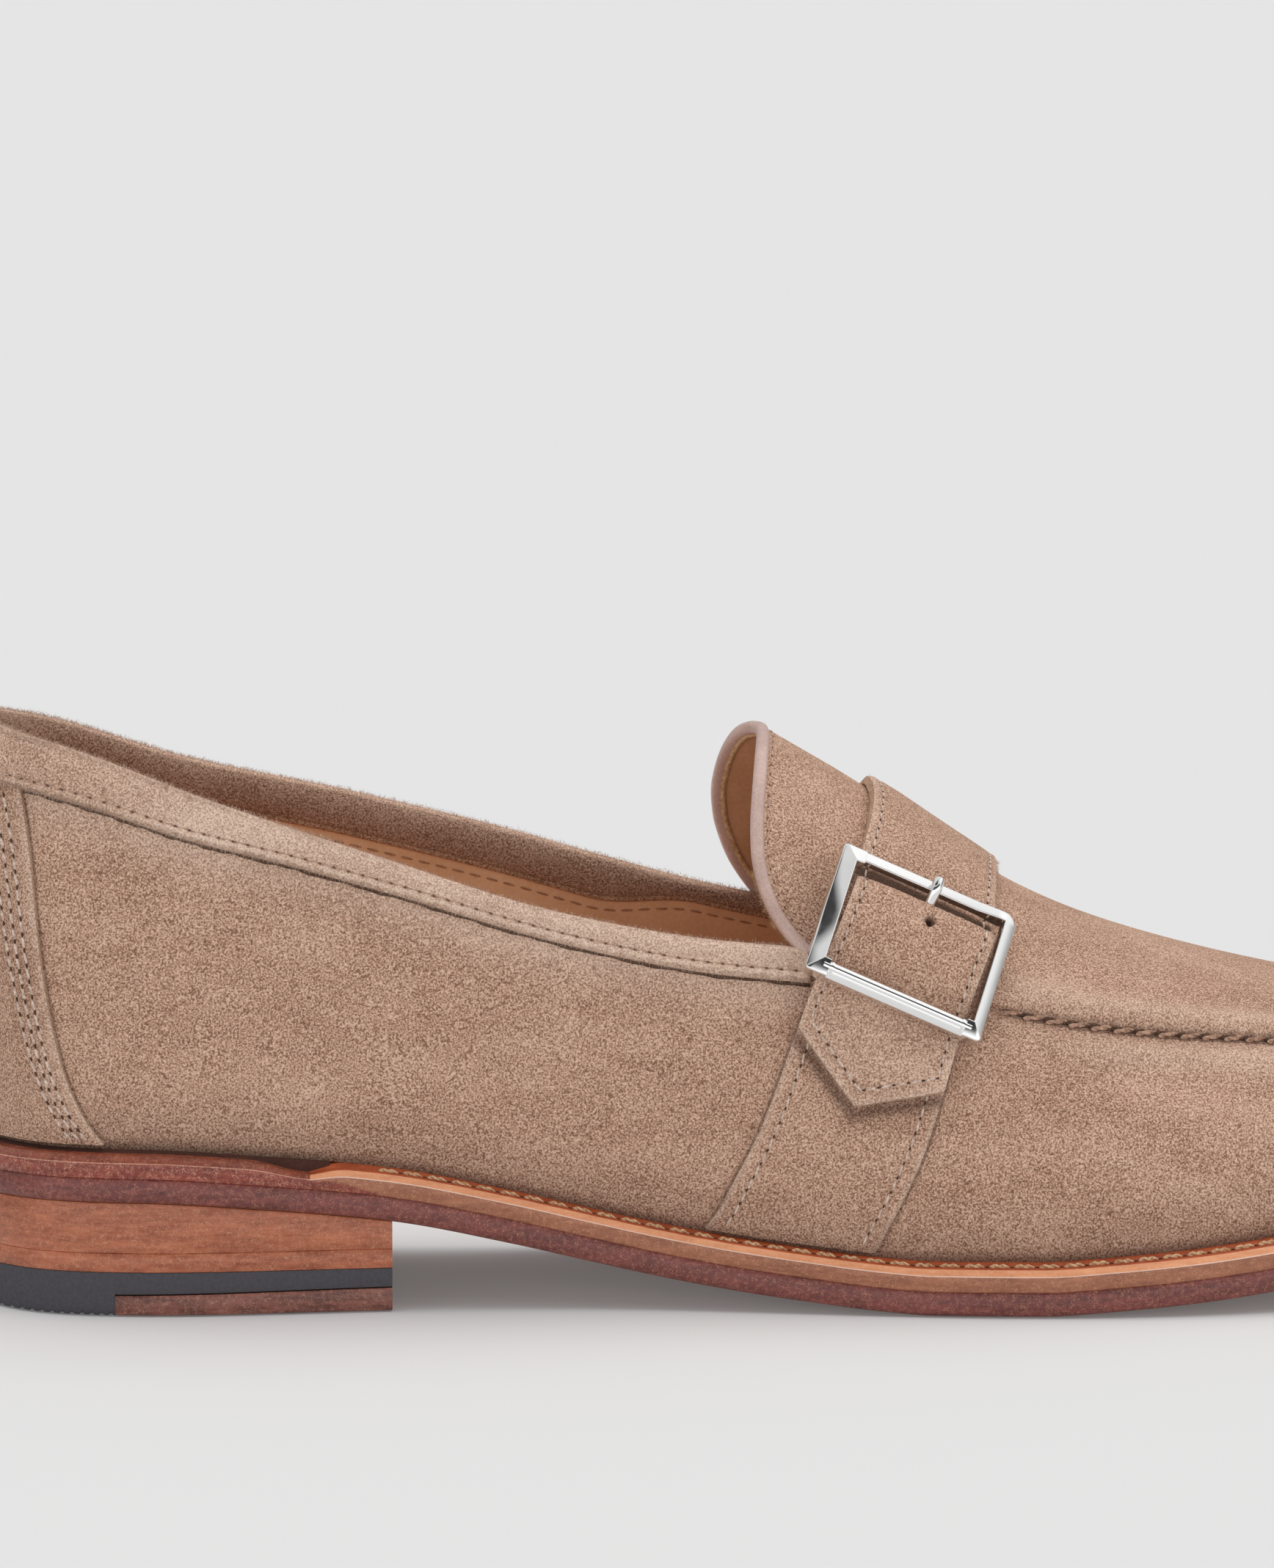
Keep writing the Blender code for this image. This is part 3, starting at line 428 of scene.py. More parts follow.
def new_piece(name, points, faces, looks, nodes=(), kinds=None, marks=None, sharp=None):
    """One object of the shoe: it rides on the part, stands for the nodes and takes the looks given."""
    mesh = bpy.data.meshes.new(name)
    mesh.from_pydata(((np.asarray(points).reshape(-1, 3) - CENTRE) * MM).tolist(), [], faces)
    for look in looks:
        mesh.materials.append(look)
    if kinds is not None:
        mesh.polygons.foreach_set("material_index", np.asarray(kinds, np.int32))
    for label, values in (marks or {}).items():
        layer = mesh.attributes.new(label, "FLOAT", "POINT")
        layer.data.foreach_set("value", np.asarray(values, np.float32).ravel())
    work = bmesh.new()
    work.from_mesh(mesh)
    bmesh.ops.remove_doubles(work, verts=work.verts, dist=MERGE)
    bmesh.ops.dissolve_degenerate(work, edges=work.edges, dist=MERGE)
    bmesh.ops.recalc_face_normals(work, faces=work.faces)
    work.to_mesh(mesh)
    work.free()
    mesh.shade_smooth()
    if sharp:
        mesh.set_sharp_from_angle(angle=np.radians(sharp))
    piece = bpy.data.objects.new(name, mesh)
    bpy.context.scene.collection.objects.link(piece)
    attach(piece, "root")
    if nodes:
        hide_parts(*nodes)


def loft(rings, closed=False):
    """Points and faces of a tube through closed rings, capped at its ends unless it closes on itself."""
    rings = np.asarray(rings, float)
    count, size = rings.shape[:2]
    index = np.arange(count * size).reshape(count, size)
    if closed:
        index = np.concatenate([index, index[:1]])
    turned = np.roll(index, -1, axis=1)
    quads = np.stack([index[:-1], turned[:-1], turned[1:], index[1:]], -1).reshape(-1, 4)
    faces = quads.tolist()
    if not closed:
        faces.append(index[0, ::-1].tolist())
        faces.append(index[-1].tolist())
    return rings.reshape(-1, 3), faces


def lofted(name, rings, looks, nodes=(), kinds=None, marks=None, sharp=None):
    """A piece lofted through rings. Kinds number the looks round a ring; the caps take the first."""
    points, faces = loft(rings)
    if kinds is not None:
        kinds = np.concatenate([np.tile(kinds, len(rings) - 1), [kinds[0], kinds[0]]])
    new_piece(name, points, faces, looks, nodes, kinds, marks, sharp)


def circle(count):
    return np.linspace(0, 2 * np.pi, count, endpoint=False)


def tube(path, first, second, radius):
    """Round rings along a path, spread in two directions square to it."""
    angles = circle(20)[None, :, None]
    return path[:, None] + radius * (np.cos(angles) * first[:, None] + np.sin(angles) * second[:, None])


class Panel:
    """A curved panel between two lifts, made of grids of (side, around, up) that share their edges."""

    SKIN, UNDER, WALL = 0, 1, 2

    def __init__(self, grids, low, high):
        grids = [np.broadcast_arrays(*grid) for grid in grids]
        spots = [np.concatenate([grid[k].ravel() for grid in grids]) for k in range(3)]
        outer = place(*spots, high(*spots))
        same = np.array(welded(outer))
        used = np.unique(same)
        renumbered = np.searchsorted(used, same)
        skin, start = [], 0
        for _, _, up in grids:
            index = renumbered[start : start + up.size].reshape(up.shape)
            start += up.size
            quads = np.stack([index[:-1, :-1], index[:-1, 1:], index[1:, 1:], index[1:, :-1]], -1)
            skin += [list(dict.fromkeys(quad)) for quad in quads.reshape(-1, 4).tolist()]
        skin = [face for face in skin if len(face) > 2]
        self.side, self.around, self.up = (values[used] for values in spots)
        inner = place(self.side, self.around, self.up, low(self.side, self.around, self.up))
        self.points = np.concatenate([outer[used], inner])
        far = len(used)
        uses = {}
        for face in skin:
            for a, b in zip(face, face[1:] + face[:1]):
                uses.setdefault((min(a, b), max(a, b)), []).append((a, b))
        rim = [pairs[0] for pairs in uses.values() if len(pairs) == 1]
        under = [[k + far for k in reversed(face)] for face in skin]
        walls = [(b, a, a + far, b + far) for a, b in rim]
        self.faces = skin + under + walls
        self.kinds = [self.SKIN] * len(skin) + [self.UNDER] * len(under) + [self.WALL] * len(walls)
        self.spots = self.side, self.around, self.up
        self.station = station_at(self.around)
        self.per_up = rib_length(*self.spots)

    def make(self, name, node, looks, edge, shade, sharp=60):
        """The panel as a suede piece. A place has the same marks on both of its faces."""
        marks = {"edge": np.concatenate([edge, edge]), "shade": np.concatenate([shade, shade])}
        new_piece(name, self.points, self.faces, looks, [node], self.kinds, marks, sharp)


def welded(points):
    """For each point, the number of the first point that lies at the same place."""
    tree = KDTree(len(points))
    for k, point in enumerate(points):
        tree.insert(point, k)
    tree.balance()
    return [min(k for _, k, _ in tree.find_range(point, 0.01)) for point in points]


def level(value):
    """The same value at every place."""
    return lambda *spots: np.full(np.shape(spots[-1]), float(value))


def crowded(count, width, margin, fine):
    """Shares from 0 to 1 over a width, with finer steps within a margin of both ends."""
    edge = np.linspace(0, margin / width, fine, endpoint=False)
    middle = np.linspace(margin / width, 1 - margin / width, count)
    return np.concatenate([edge, middle, 1 - edge[::-1]])


def finer_start(part, fine, count):
    """Shares from 0 to 1, with finer steps over the first part."""
    return np.concatenate([np.linspace(0, part, fine, endpoint=False), np.linspace(part, 1, count)])


def plate(arounds, wall, floor, roof):
    """Rings of a slab across the sole. The wall lists (inset, share of the height)."""
    columns = []
    for side, edge in ((-1, wall), (1, wall[::-1])):
        for inward, share in edge:
            x, y = outline(side, arounds, inward)
            columns.append(np.stack([x, y, floor(x) + share * (roof(x) - floor(x))], -1))
    return np.stack(columns, 1)


def sole_arounds(first, last, count):
    return np.linspace(around_at(first), around_at(last), count)


# Threads

COLLAR_PITCH = 2.45
ROPE_PITCH = 3.9

# Stitches: distance apart, length, half width, half height and lean, then length, half width and half
# height of the needle holes between them, dark grains of painted shade
STITCHES = {
    "welt": (4.1, 3.3, 0.5, 0.55, -0.12, 0.6, 0.3, 0.1),
    "counter": (2.5, 1.8, 0.27, 0.3, 0.12, 0.75, 0.24, 0.14),
    "collar": (COLLAR_PITCH, 1.8, 0.22, 0.2, 0.1, 0.6, 0.18, 0.12),
    "lining": (3.0, 2.1, 0.2, 0.16, 0.0),
    "apron": (ROPE_PITCH, 4.1, 0.5, 0.46, 0.3, 0.8, 0.34, 0.3),
    "tongue": (2.3, 1.5, 0.2, 0.2, 0.0, 0.6, 0.18, 0.12),
    "saddle": (2.5, 1.75, 0.22, 0.25, 0.12, 0.6, 0.18, 0.12),
    "strap": (2.35, 1.65, 0.2, 0.22, 0.12, 0.6, 0.19, 0.12),
}

# Shape of a stitch: least radius and fullness of its ends, angle that twisted strands turn through, and how
# far those strands stand from the middle and how thick they are
END_RADIUS, END_FULLNESS = 0.12, 0.7
TWIST = 2.2 * np.pi
STRAND_OFFSET, STRAND_THICK = 0.5, 0.62

# Fibres: radius, how far they lean about, how far their roots scatter and sink, shortest and longest share
# of their length, and how pale they are
FIBRE_RADIUS = 0.045
FIBRE_LEAN, FIBRE_SCATTER, FIBRE_ROOT = 0.55, 0.2, 0.1
FIBRE_SHORT, FIBRE_LONG = 0.4, 1.5
FIBRE_PALE = 0.6


def grain(plies):
    """Points and faces of a stitch of length 1 and radius 1: a round grain, or two twisted strands."""
    twisted = plies > 1
    offset, thick = (STRAND_OFFSET, STRAND_THICK) if twisted else (0.0, 1.0)
    turn = np.linspace(0, np.pi, 9 if twisted else 6)
    along = -np.cos(turn) / 2
    radius = np.maximum(np.sin(turn), END_RADIUS) ** END_FULLNESS
    angles = circle(6)
    spokes = np.stack([0 * angles, np.cos(angles), np.sin(angles)], 1)
    points, faces = [], []
    for ply in range(plies):
        twist = ply * np.pi + TWIST * along
        middle = np.stack([along, offset * radius * np.cos(twist), offset * radius * np.sin(twist)], 1)
        strand, strand_faces = loft(middle[:, None] + thick * radius[:, None, None] * spokes[None])
        faces += [[k + len(points) * len(strand) for k in face] for face in strand_faces]
        points.append(strand)
    return np.concatenate(points), faces


def run_along(points):
    """Distance along a line to each of its points."""
    return np.concatenate([[0], np.cumsum(np.linalg.norm(np.diff(points, axis=0), axis=1))])


def read_off(at, run, values):
    """Vectors at places of a line, between those known along its run."""
    return np.stack([np.interp(at, run, values[:, k]) for k in range(3)], 1)


def row_on(points, normals, pitch, shift=0.5):
    """Evenly spaced places along a line: points, directions along it and outward normals."""
    run = run_along(points)
    count = int(run[-1] / pitch)
    at = (np.arange(count) + shift) * run[-1] / count
    along = np.gradient(points, axis=0)
    return read_off(at, run, points), unit(read_off(at, run, along)), unit(read_off(at, run, normals))


def line_on(side, around, up, lift):
    """Points and normals of a line on the last."""
    side, around, up, lift = np.broadcast_arrays(side, around, up, lift)
    return place(side, around, up, lift), normal_of(side, around, up)


def sew(name, rows, look, length, wide, high, lean=0.0, plies=1):
    """Stitches along rows of (points, directions, normals), joined in one piece."""
    shape, shape_faces = grain(plies)
    points, faces = [], []
    start = 0
    for spots, along, out in rows:
        across = unit(np.cross(out, along))
        leant = np.cos(lean) * along + np.sin(lean) * across
        side = np.cos(lean) * across - np.sin(lean) * along
        made = (
            spots[:, None]
            + shape[None, :, 0:1] * length * leant[:, None]
            + shape[None, :, 1:2] * wide * side[:, None]
            + shape[None, :, 2:3] * high * out[:, None]
        )
        for k in range(len(spots)):
            base = start + k * len(shape)
            faces += [[base + m for m in face] for face in shape_faces]
        start += len(spots) * len(shape)
        points.append(made.reshape(-1, 3))
    new_piece(name, np.concatenate(points), faces, [look])


def stitch(seam_name, lines, thread, hole=None, plies=1):
    """Stitches along lines of (points, normals), and needle holes of painted shade between them, if they
    have a look.
    """
    pitch, length, wide, high, lean, *hole_size = STITCHES[seam_name]
    rows = [row_on(*line, pitch) for line in lines]
    sew(seam_name + "_stitches", rows, thread, length, wide, high, lean, plies)
    if hole:
        between = [row_on(*line, pitch, shift=1.0) for line in lines]
        sew(seam_name + "_stitch_holes", between, hole, *hole_size)


def fuzz(name, rows, look, length):
    """Loose fibres that stand off rows of (points, directions, count)."""
    chance = np.random.default_rng(7)
    spikes = []
    for points, stand, count in rows:
        at = chance.uniform(0, len(points) - 1, count)
        steps = np.arange(len(points))
        base = read_off(at, steps, points)
        lean = unit(read_off(at, steps, stand))
        lean = unit(lean + FIBRE_LEAN * chance.normal(size=(count, 3)))
        side = unit(np.cross(lean, chance.normal(size=(count, 3))))
        third = np.cross(lean, side)
        base = base + FIBRE_SCATTER * chance.normal(size=(count, 3)) - FIBRE_ROOT * lean
        tip = base + length * chance.uniform(FIBRE_SHORT, FIBRE_LONG, (count, 1)) * lean
        corners = [base + FIBRE_RADIUS * (np.cos(a) * side + np.sin(a) * third) for a in (0.0, 2.1, 4.2)]
        spikes.append(np.stack(corners + [tip], 1))
    points = np.concatenate(spikes).reshape(-1, 3)
    first = np.arange(0, len(points), 4)[:, None, None]
    faces = (first + np.array([[0, 1, 3], [1, 2, 3], [2, 0, 3]])).reshape(-1, 3).tolist()
    new_piece(name, points, faces, [look], marks={"edge": np.full(len(points), FIBRE_PALE)})


# Looks

def tone(red, green, blue):
    """Linear colour of one given as 0 to 255."""
    value = np.array([red, green, blue]) / 255
    linear = np.where(value <= 0.04045, value / 12.92, ((value + 0.055) / 1.055) ** 2.4)
    return (*linear.tolist(), 1.0)


DEEP_SHADE = tone(70, 48, 38)


class Nodes:
    """Short ways to add nodes to a tree."""

    def __init__(self, tree, coordinates):
        self.tree = tree
        self.spot = tree.nodes.new("ShaderNodeTexCoord").outputs[coordinates]

    def add(self, kind, inputs, **settings):
        made = self.tree.nodes.new(kind)
        for key, value in settings.items():
            setattr(made, key, value)
        for key, value in inputs.items():
            if isinstance(value, bpy.types.NodeSocket):
                self.tree.links.new(value, made.inputs[key])
            else:
                made.inputs[key].default_value = value
        return made

    def noise(self, size, detail=3.0, roughness=0.55, spot=None, distortion=0.0):
        """Noise whose blots are about this many millimetres across."""
        inputs = {
            "Vector": spot or self.spot,
            "Scale": 1 / (size * MM),
            "Detail": detail,
            "Roughness": roughness,
            "Distortion": distortion,
        }
        return self.add("ShaderNodeTexNoise", inputs).outputs["Fac"]

    def math(self, operation, first, second):
        return self.add("ShaderNodeMath", {0: first, 1: second}, operation=operation).outputs[0]

    def times(self, first, second):
        return self.math("MULTIPLY", first, second)

    def vector(self, operation, first, second):
        return self.add("ShaderNodeVectorMath", {0: first, 1: second}, operation=operation).outputs[0]

    def spread(self, value, low, high, to_low=0.0, to_high=1.0):
        inputs = {"Value": value, "From Min": low, "From Max": high, "To Min": to_low, "To Max": to_high}
        return self.add("ShaderNodeMapRange", inputs).outputs[0]

    def ramp(self, value, *stops):
        """Colours, each given as 0 to 255, at positions of the value."""
        made = self.add("ShaderNodeValToRGB", {"Fac": value})
        stops_made = made.color_ramp.elements
        while len(stops_made) < len(stops):
            stops_made.new(0.5)
        for stop, (position, colour) in zip(stops_made, stops):
            stop.position = position
            stop.color = tone(*colour)
        return made.outputs["Color"]

    def blend(self, share, first, second):
        made = self.add("ShaderNodeMix", {0: share, 6: first, 7: second}, data_type="RGBA")
        return made.outputs[2]

    def mark(self, label):
        return self.add("ShaderNodeAttribute", {}, attribute_name=label).outputs["Fac"]


class Look(Nodes):
    """A material made of one shader."""

    def __init__(self, name, **sockets):
        self.material = bpy.data.materials.new(name)
        self.material.use_nodes = True
        super().__init__(self.material.node_tree, "Object")
        self.shader = self.tree.nodes["Principled BSDF"]
        for socket, value in sockets.items():
            self.shader.inputs[socket.replace("_", " ")].default_value = value

    def set(self, socket, value):
        self.tree.links.new(value, self.shader.inputs[socket])

    def emboss(self, height, depth, strength=1.0):
        inputs = {"Height": height, "Distance": depth * MM, "Strength": strength}
        self.set("Normal", self.add("ShaderNodeBump", inputs).outputs[0])


def suede_look(name, dark, middle, light, pale):
    """Short brushed nap: fine fibres over broad clouds.

    The edge mark makes it paler, where the nap is worn or cut and as painted light, and the shade mark
    darker, as painted shade.
    """
    look = Look(name, Roughness=0.95, Specular_IOR_Level=0.1, Sheen_Weight=0.2, Sheen_Roughness=0.5)
    look.shader.inputs["Sheen Tint"].default_value = tone(240, 216, 196)
    nap = look.noise(0.31, 2.0, 0.6)
    brushed = look.vector("MULTIPLY", look.spot, (0.6, 1.0, 1.4))
    cloud = look.noise(11.0, 4.0, 0.6, brushed)
    mixed = look.math("ADD", nap, look.spread(cloud, 0.3, 0.7, -0.035, 0.035))
    colour = look.ramp(mixed, (0.36, dark), (0.50, middle), (0.64, light))
    paler = look.ramp(mixed, (0.30, middle), (0.62, pale))
    colour = look.blend(look.mark("edge"), colour, paler)
    look.set("Base Color", look.blend(look.mark("shade"), colour, DEEP_SHADE))
    look.emboss(nap, 0.32, 0.9)
    return look.material


def smooth_leather_look(name, dark, light, grain_size, depth, roughness, coat):
    """Finished leather: faint pores and slow changes of colour."""
    look = Look(name, Roughness=roughness, Specular_IOR_Level=0.4, Coat_Weight=coat, Coat_Roughness=0.35)
    pores = look.noise(grain_size, 4.0, 0.6)
    cloud = look.noise(9.0, 4.0, 0.6)
    mixed = look.math("ADD", look.times(pores, 0.45), look.times(cloud, 0.55))
    look.set("Base Color", look.ramp(mixed, (0.35, dark), (0.65, light)))
    look.emboss(pores, depth, 0.6)
    return look.material


def cut_leather_look(name, dark, light, scratch, amount, roughness=0.42, coat=0.3, below_scarf=None):
    """The polished cut edge of thick leather: streaked in flat layers, with curly pale fibres torn out.

    Where the scarf mark is below zero, it takes the two colours given for that.
    """
    look = Look(name, Roughness=roughness, Specular_IOR_Level=0.4, Coat_Weight=coat, Coat_Roughness=0.3)
    layered = look.vector("MULTIPLY", look.spot, (1.0, 1.0, 6.0))
    mottle = look.noise(5.0, 5.0, 0.65, layered)
    cloud = look.noise(16.0, 3.0, 0.5, layered)
    mixed = look.math("ADD", look.times(mottle, 0.65), look.times(cloud, 0.35))
    low, high = 0.36, 0.62
    colour = look.ramp(mixed, (low, dark), (high, light))
    if below_scarf:
        under = look.ramp(mixed, (low, below_scarf[0]), (high, below_scarf[1]))
        colour = look.blend(look.spread(look.mark("scarf"), -0.04, 0.04), under, colour)
    inputs = {"Vector": look.spot, "Scale": 1500.0, "Detail": 1.0}
    bend = look.add("ShaderNodeTexNoise", inputs).outputs["Color"]
    bent = look.add("ShaderNodeVectorMath", {0: bend, "Scale": 0.0011}, operation="SCALE").outputs[0]
    inputs = {"Vector": look.vector("ADD", look.spot, bent), "Scale": 2300.0}
    cells = look.add("ShaderNodeTexVoronoi", inputs, feature="DISTANCE_TO_EDGE").outputs["Distance"]
    thin = look.spread(cells, 0.02, 0.10, amount, 0.0)
    broken = look.spread(look.noise(0.8, 1.0), low, high)
    look.set("Base Color", look.blend(look.times(thin, broken), colour, tone(*scratch)))
    look.emboss(mottle, 0.1, 0.5)
    return look.material


def thread_look(name, dark, light):
    look = Look(name, Roughness=0.8, Specular_IOR_Level=0.2, Sheen_Weight=0.1)
    look.set("Base Color", look.ramp(look.noise(0.5, 2.0), (0.35, dark), (0.65, light)))
    look.emboss(look.noise(0.3, 2.0), 0.1, 0.5)
    return look.material


def rubber_look(name, dark, light):
    look = Look(name, Roughness=0.72, Specular_IOR_Level=0.35)
    speck = look.noise(0.6, 3.0, 0.6)
    look.set("Base Color", look.ramp(speck, (0.3, dark), (0.7, light)))
    look.emboss(speck, 0.06, 0.5)
    return look.material


def metal_look(name, colour):
    look = Look(name, Metallic=1.0, Roughness=0.1)
    look.shader.inputs["Base Color"].default_value = colour
    haze = look.noise(3.0, 3.0)
    look.set("Roughness", look.spread(haze, 0.3, 0.7, 0.07, 0.16))
    return look.material


suede = suede_look("suede", (134, 99, 79), (198, 157, 133), (236, 202, 179), (254, 230, 210))
raw_edge = suede_look("raw edge", (128, 94, 74), (178, 140, 114), (214, 180, 152), (222, 190, 162))

# Smooth leathers: dark and light colour, size and depth of the pores, roughness, coat
tongue_lining = smooth_leather_look("tongue lining", (186, 136, 100), (206, 158, 120), 0.7, 0.05, 0.6, 0.0)
lining = smooth_leather_look("lining leather", (218, 168, 127), (235, 189, 150), 0.7, 0.05, 0.6, 0.0)
PIPING = (188, 154, 143), (222, 193, 182)
piping_leather = smooth_leather_look("piping leather", *PIPING, 0.45, 0.14, 0.34, 0.5)
# Pale line along the welt's edge: a painted highlight
welt_edge_highlight = smooth_leather_look("welt edge highlight", (226, 186, 164), (244, 216, 200), 0.6, 0.03, 0.3, 0.5)
# Near-black leather in the gap under the upper at the heel: painted shade
gap_shade_leather = smooth_leather_look("painted gap shade", (66, 38, 30), (86, 52, 42), 0.7, 0.05, 0.9, 0.0)

# Cut leathers: dark and light colour, colour and amount of the torn fibres
RAND_SIDE = (110, 40, 32), (156, 71, 55)
WELT_SIDE = (140, 84, 58), (178, 114, 84)
top_welt = cut_leather_look("welt top", (150, 62, 30), (190, 92, 52), (206, 124, 80), 0.4)
bevel_welt = cut_leather_look("welt bevel", (216, 139, 96), (240, 166, 121), (244, 200, 162), 0.4)
side_welt = cut_leather_look("welt side", *WELT_SIDE, (226, 170, 132), 0.5, below_scarf=RAND_SIDE)
rand_top = cut_leather_look("rand top", (104, 44, 32), (146, 70, 50), (206, 140, 104), 0.6)
# Paler line along the rand's edge: a painted highlight
rand_edge_highlight = cut_leather_look("rand edge highlight", (176, 116, 96), (206, 152, 130), (226, 186, 164), 0.7)
rand_side = cut_leather_look("rand side", *RAND_SIDE, (226, 168, 140), 0.7)
sole_edge = cut_leather_look("sole edge", (90, 40, 37), (132, 66, 61), (208, 140, 112), 0.55)
sole_bottom = cut_leather_look("sole bottom", (112, 66, 48), (140, 88, 64), (170, 118, 88), 0.2, 0.55, 0.1)
lift_leather = cut_leather_look("stacked leather", (146, 74, 46), (196, 115, 81), (236, 182, 144), 0.4)
tip_leather = cut_leather_look("heel tip leather", (80, 38, 30), (142, 84, 70), (200, 150, 126), 0.55)

rubber = rubber_look("heel rubber", (72, 70, 75), (82, 80, 86))
metal = metal_look("polished metal", (0.86, 0.855, 0.85, 1.0))
light_thread = thread_look("light thread", (188, 162, 146), (240, 222, 208))
suede_thread = thread_look("suede thread", (170, 136, 116), (214, 180, 158))
lining_thread = thread_look("lining thread", (162, 114, 82), (190, 140, 104))
rope_thread = thread_look("apron thread", (146, 112, 92), (206, 168, 144))
welt_thread = thread_look("welt thread", (184, 138, 98), (236, 200, 160))
# Needle holes: dark grains between the stitches, painted shade in the holes
needle_hole_shade = thread_look("needle hole", (70, 50, 40), (96, 70, 56))
faint_hole_shade = thread_look("faint hole", (112, 84, 68), (134, 102, 84))
fringe_leather = thread_look("raw lining fringe", (188, 146, 104), (230, 194, 152))


# Bottom

# Wall of the outsole from its underside to its top: inset, share of the height, look
OUTSOLE_WALL = (
    (30.0, 0.0, 1), (1.2, 0.0, 1), (0.5, 0.05, 0), (0.1, 0.18, 0), (0.0, 0.35, 0), (0.0, 0.94, 0),
    (0.2, 1.0, 0), (0.6, 1.0, 0),
)


def make_outsole():
    wall = [row[:2] for row in OUTSOLE_WALL]
    half = [row[2] for row in OUTSOLE_WALL]
    kinds = half + half[-2::-1] + [half[0]]
    rings = plate(sole_arounds(0, LENGTH, 240), wall, underside, lambda x: underside(x) + OUTSOLE_THICK)
    looks = [sole_edge, sole_bottom]
    lofted("outsole_leather", rings, looks, ["outsole"], kinds, sharp=50)


# Section of a strip round the foot, from its hidden inner edge below to the one above: inset, share of the
# height, look
STRIP = (
    (12.0, 0.0, 3), (0.2, 0.0, 3), (0.0, 0.06, 3), (0.0, 0.60, 3), (0.04, 0.64, 2), (0.16, 0.68, 1),
    (0.95, 0.92, 0), (1.5, 0.99, 0), (1.9, 0.93, 0), (2.3, 0.90, 0), (2.7, 0.94, 0), (3.2, 0.97, 4),
    (3.5, 1.08, 4), (12.0, 1.08, 4),
)
STRIP_LOOKS = [row[2] for row in STRIP]

# Past this inset a closing strip keeps its full height, which shuts the gap under the upper
STRIP_WIDE = 3.3

# The welt's start: length with finer steps, length of its sloping nose, and that slope's least height and
# its share at the very start
WELT_FINE = 8
NOSE = 7.0
NOSE_LEAST, NOSE_SHARE = 0.5, 0.25

# The slanting joint where the welt's side lies over the rand's: length, share of the height at its start
SCARF, SCARF_TOP = 14.0, 0.66

# Stitches on the welt: inset of their row, how deep they sit, steps of the welt without them at each end
WELT_ROW, WELT_SINK, WELT_BARE = 2.75, 0.12, 14

# The rand: inset behind the welt's, length of its overlap with the welt, station where its steps become
# finer, then where its end starts to dip and how deep
RAND_INSET, RAND_OVERLAP, RAND_FINE = 0.05, 4, 44
RAND_DIP_START, RAND_DIP = 48, 0.38


def strip_rings(path, heights, inset_more=0.0, closing=False):
    thick = STACK - OUTSOLE_THICK - GAP
    rings = []
    for side in (-1, 1):
        chosen = [k for k, (half, _) in enumerate(path) if half == side]
        around = np.array([path[k][1] for k in chosen])
        columns = []
        for inward, height, _ in STRIP:
            x, y = outline(side, around, inward + inset_more)
            reach = 1.0 if closing and inward > STRIP_WIDE else heights[chosen]
            z = underside(x) + OUTSOLE_THICK + height * (reach * thick + GAP)
            columns.append(np.stack([x, y, z], -1))
        rings.append((chosen, np.stack(columns, 1)))
    ordered = np.zeros((len(path), len(STRIP), 3))
    for chosen, made in rings:
        ordered[chosen] = made
    return ordered


def make_welt():
    fine = WELT_START + WELT_FINE
    shares = np.concatenate([sole_arounds(WELT_START, fine, 12)[:-1], sole_arounds(fine, LENGTH, 230)])
    path = [(-1, share) for share in shares] + [(1, share) for share in shares[-2::-1]]
    past = station_at(np.array([share for _, share in path])) - WELT_START
    heights = NOSE_LEAST + (1 - NOSE_LEAST) * eased(NOSE_SHARE + (1 - NOSE_SHARE) * past / NOSE)
    # Look 2 of the strip is the painted highlight along the welt's edge
    looks = [top_welt, bevel_welt, welt_edge_highlight, side_welt, top_welt]
    joint = SCARF_TOP * (1 - past / SCARF)
    marks = {"scarf": column(STRIP, 1)[None] - joint[:, None]}
    rings = strip_rings(path, heights)
    lofted("welt_leather", rings, looks, ["welt"], STRIP_LOOKS, marks, sharp=60)
    return path


def make_welt_stitches(path):
    """Twisted lock stitches on the welt, close to the upper."""
    points = []
    for side, share in path[WELT_BARE:-WELT_BARE]:
        x, y = outline(side, np.array(share), WELT_ROW)
        points.append((x, y, underside(x) + STACK - WELT_SINK))
    points = np.array(points)
    out = np.tile((0.0, 0.0, 1.0), (len(points), 1))
    stitch("welt", [(points, out)], welt_thread, needle_hole_shade, plies=2)


def make_heel_rand():
    end = WELT_START + RAND_OVERLAP
    shares = np.concatenate([sole_arounds(0, RAND_FINE, 60)[:-1], sole_arounds(RAND_FINE, end, 28)])
    path = [(-1, share) for share in shares[::-1]] + [(1, share) for share in shares[1:]]
    stations = station_at(np.array([share for _, share in path]))
    heights = 1 - RAND_DIP * eased((stations - RAND_DIP_START) / (WELT_START - RAND_DIP_START))
    # The rand's inner rows take the near-black leather, painted shade in the gap under the upper; look 2 is
    # the painted highlight along its edge
    looks = [rand_top, rand_top, rand_edge_highlight, rand_side, gap_shade_leather]
    rings = strip_rings(path, heights, RAND_INSET, closing=True)
    lofted("heel_rand_leather", rings, looks, ["heel_rand"], STRIP_LOOKS, sharp=60)


def tip_top(x):
    return TIP_HEIGHT + TIP_RISE * (x - TIP_START) / (BREAST - TIP_START)


# Grooves under the rubber: distance apart, depth
RIB_PITCH = 1.6
RIB_HEIGHT = 0.35

# Walls of a lift and of the worn top piece from below to above: inset from the heel's edge, share of height
LIFT_WALL = ((0.15, 0.0), (0.0, 0.04), (0.0, 0.96), (0.15, 1.0))
WORN_WALL = ((0.7, 0.0), (0.15, 0.06), (0.0, 0.2), (0.0, 0.96), (0.1, 1.0))

# Gap left between pieces of the heel that touch
HEEL_GAP = 0.04


def ribbed(x):
    return RIB_HEIGHT * np.clip(np.cos(2 * np.pi * x / RIB_PITCH), 0, 1)


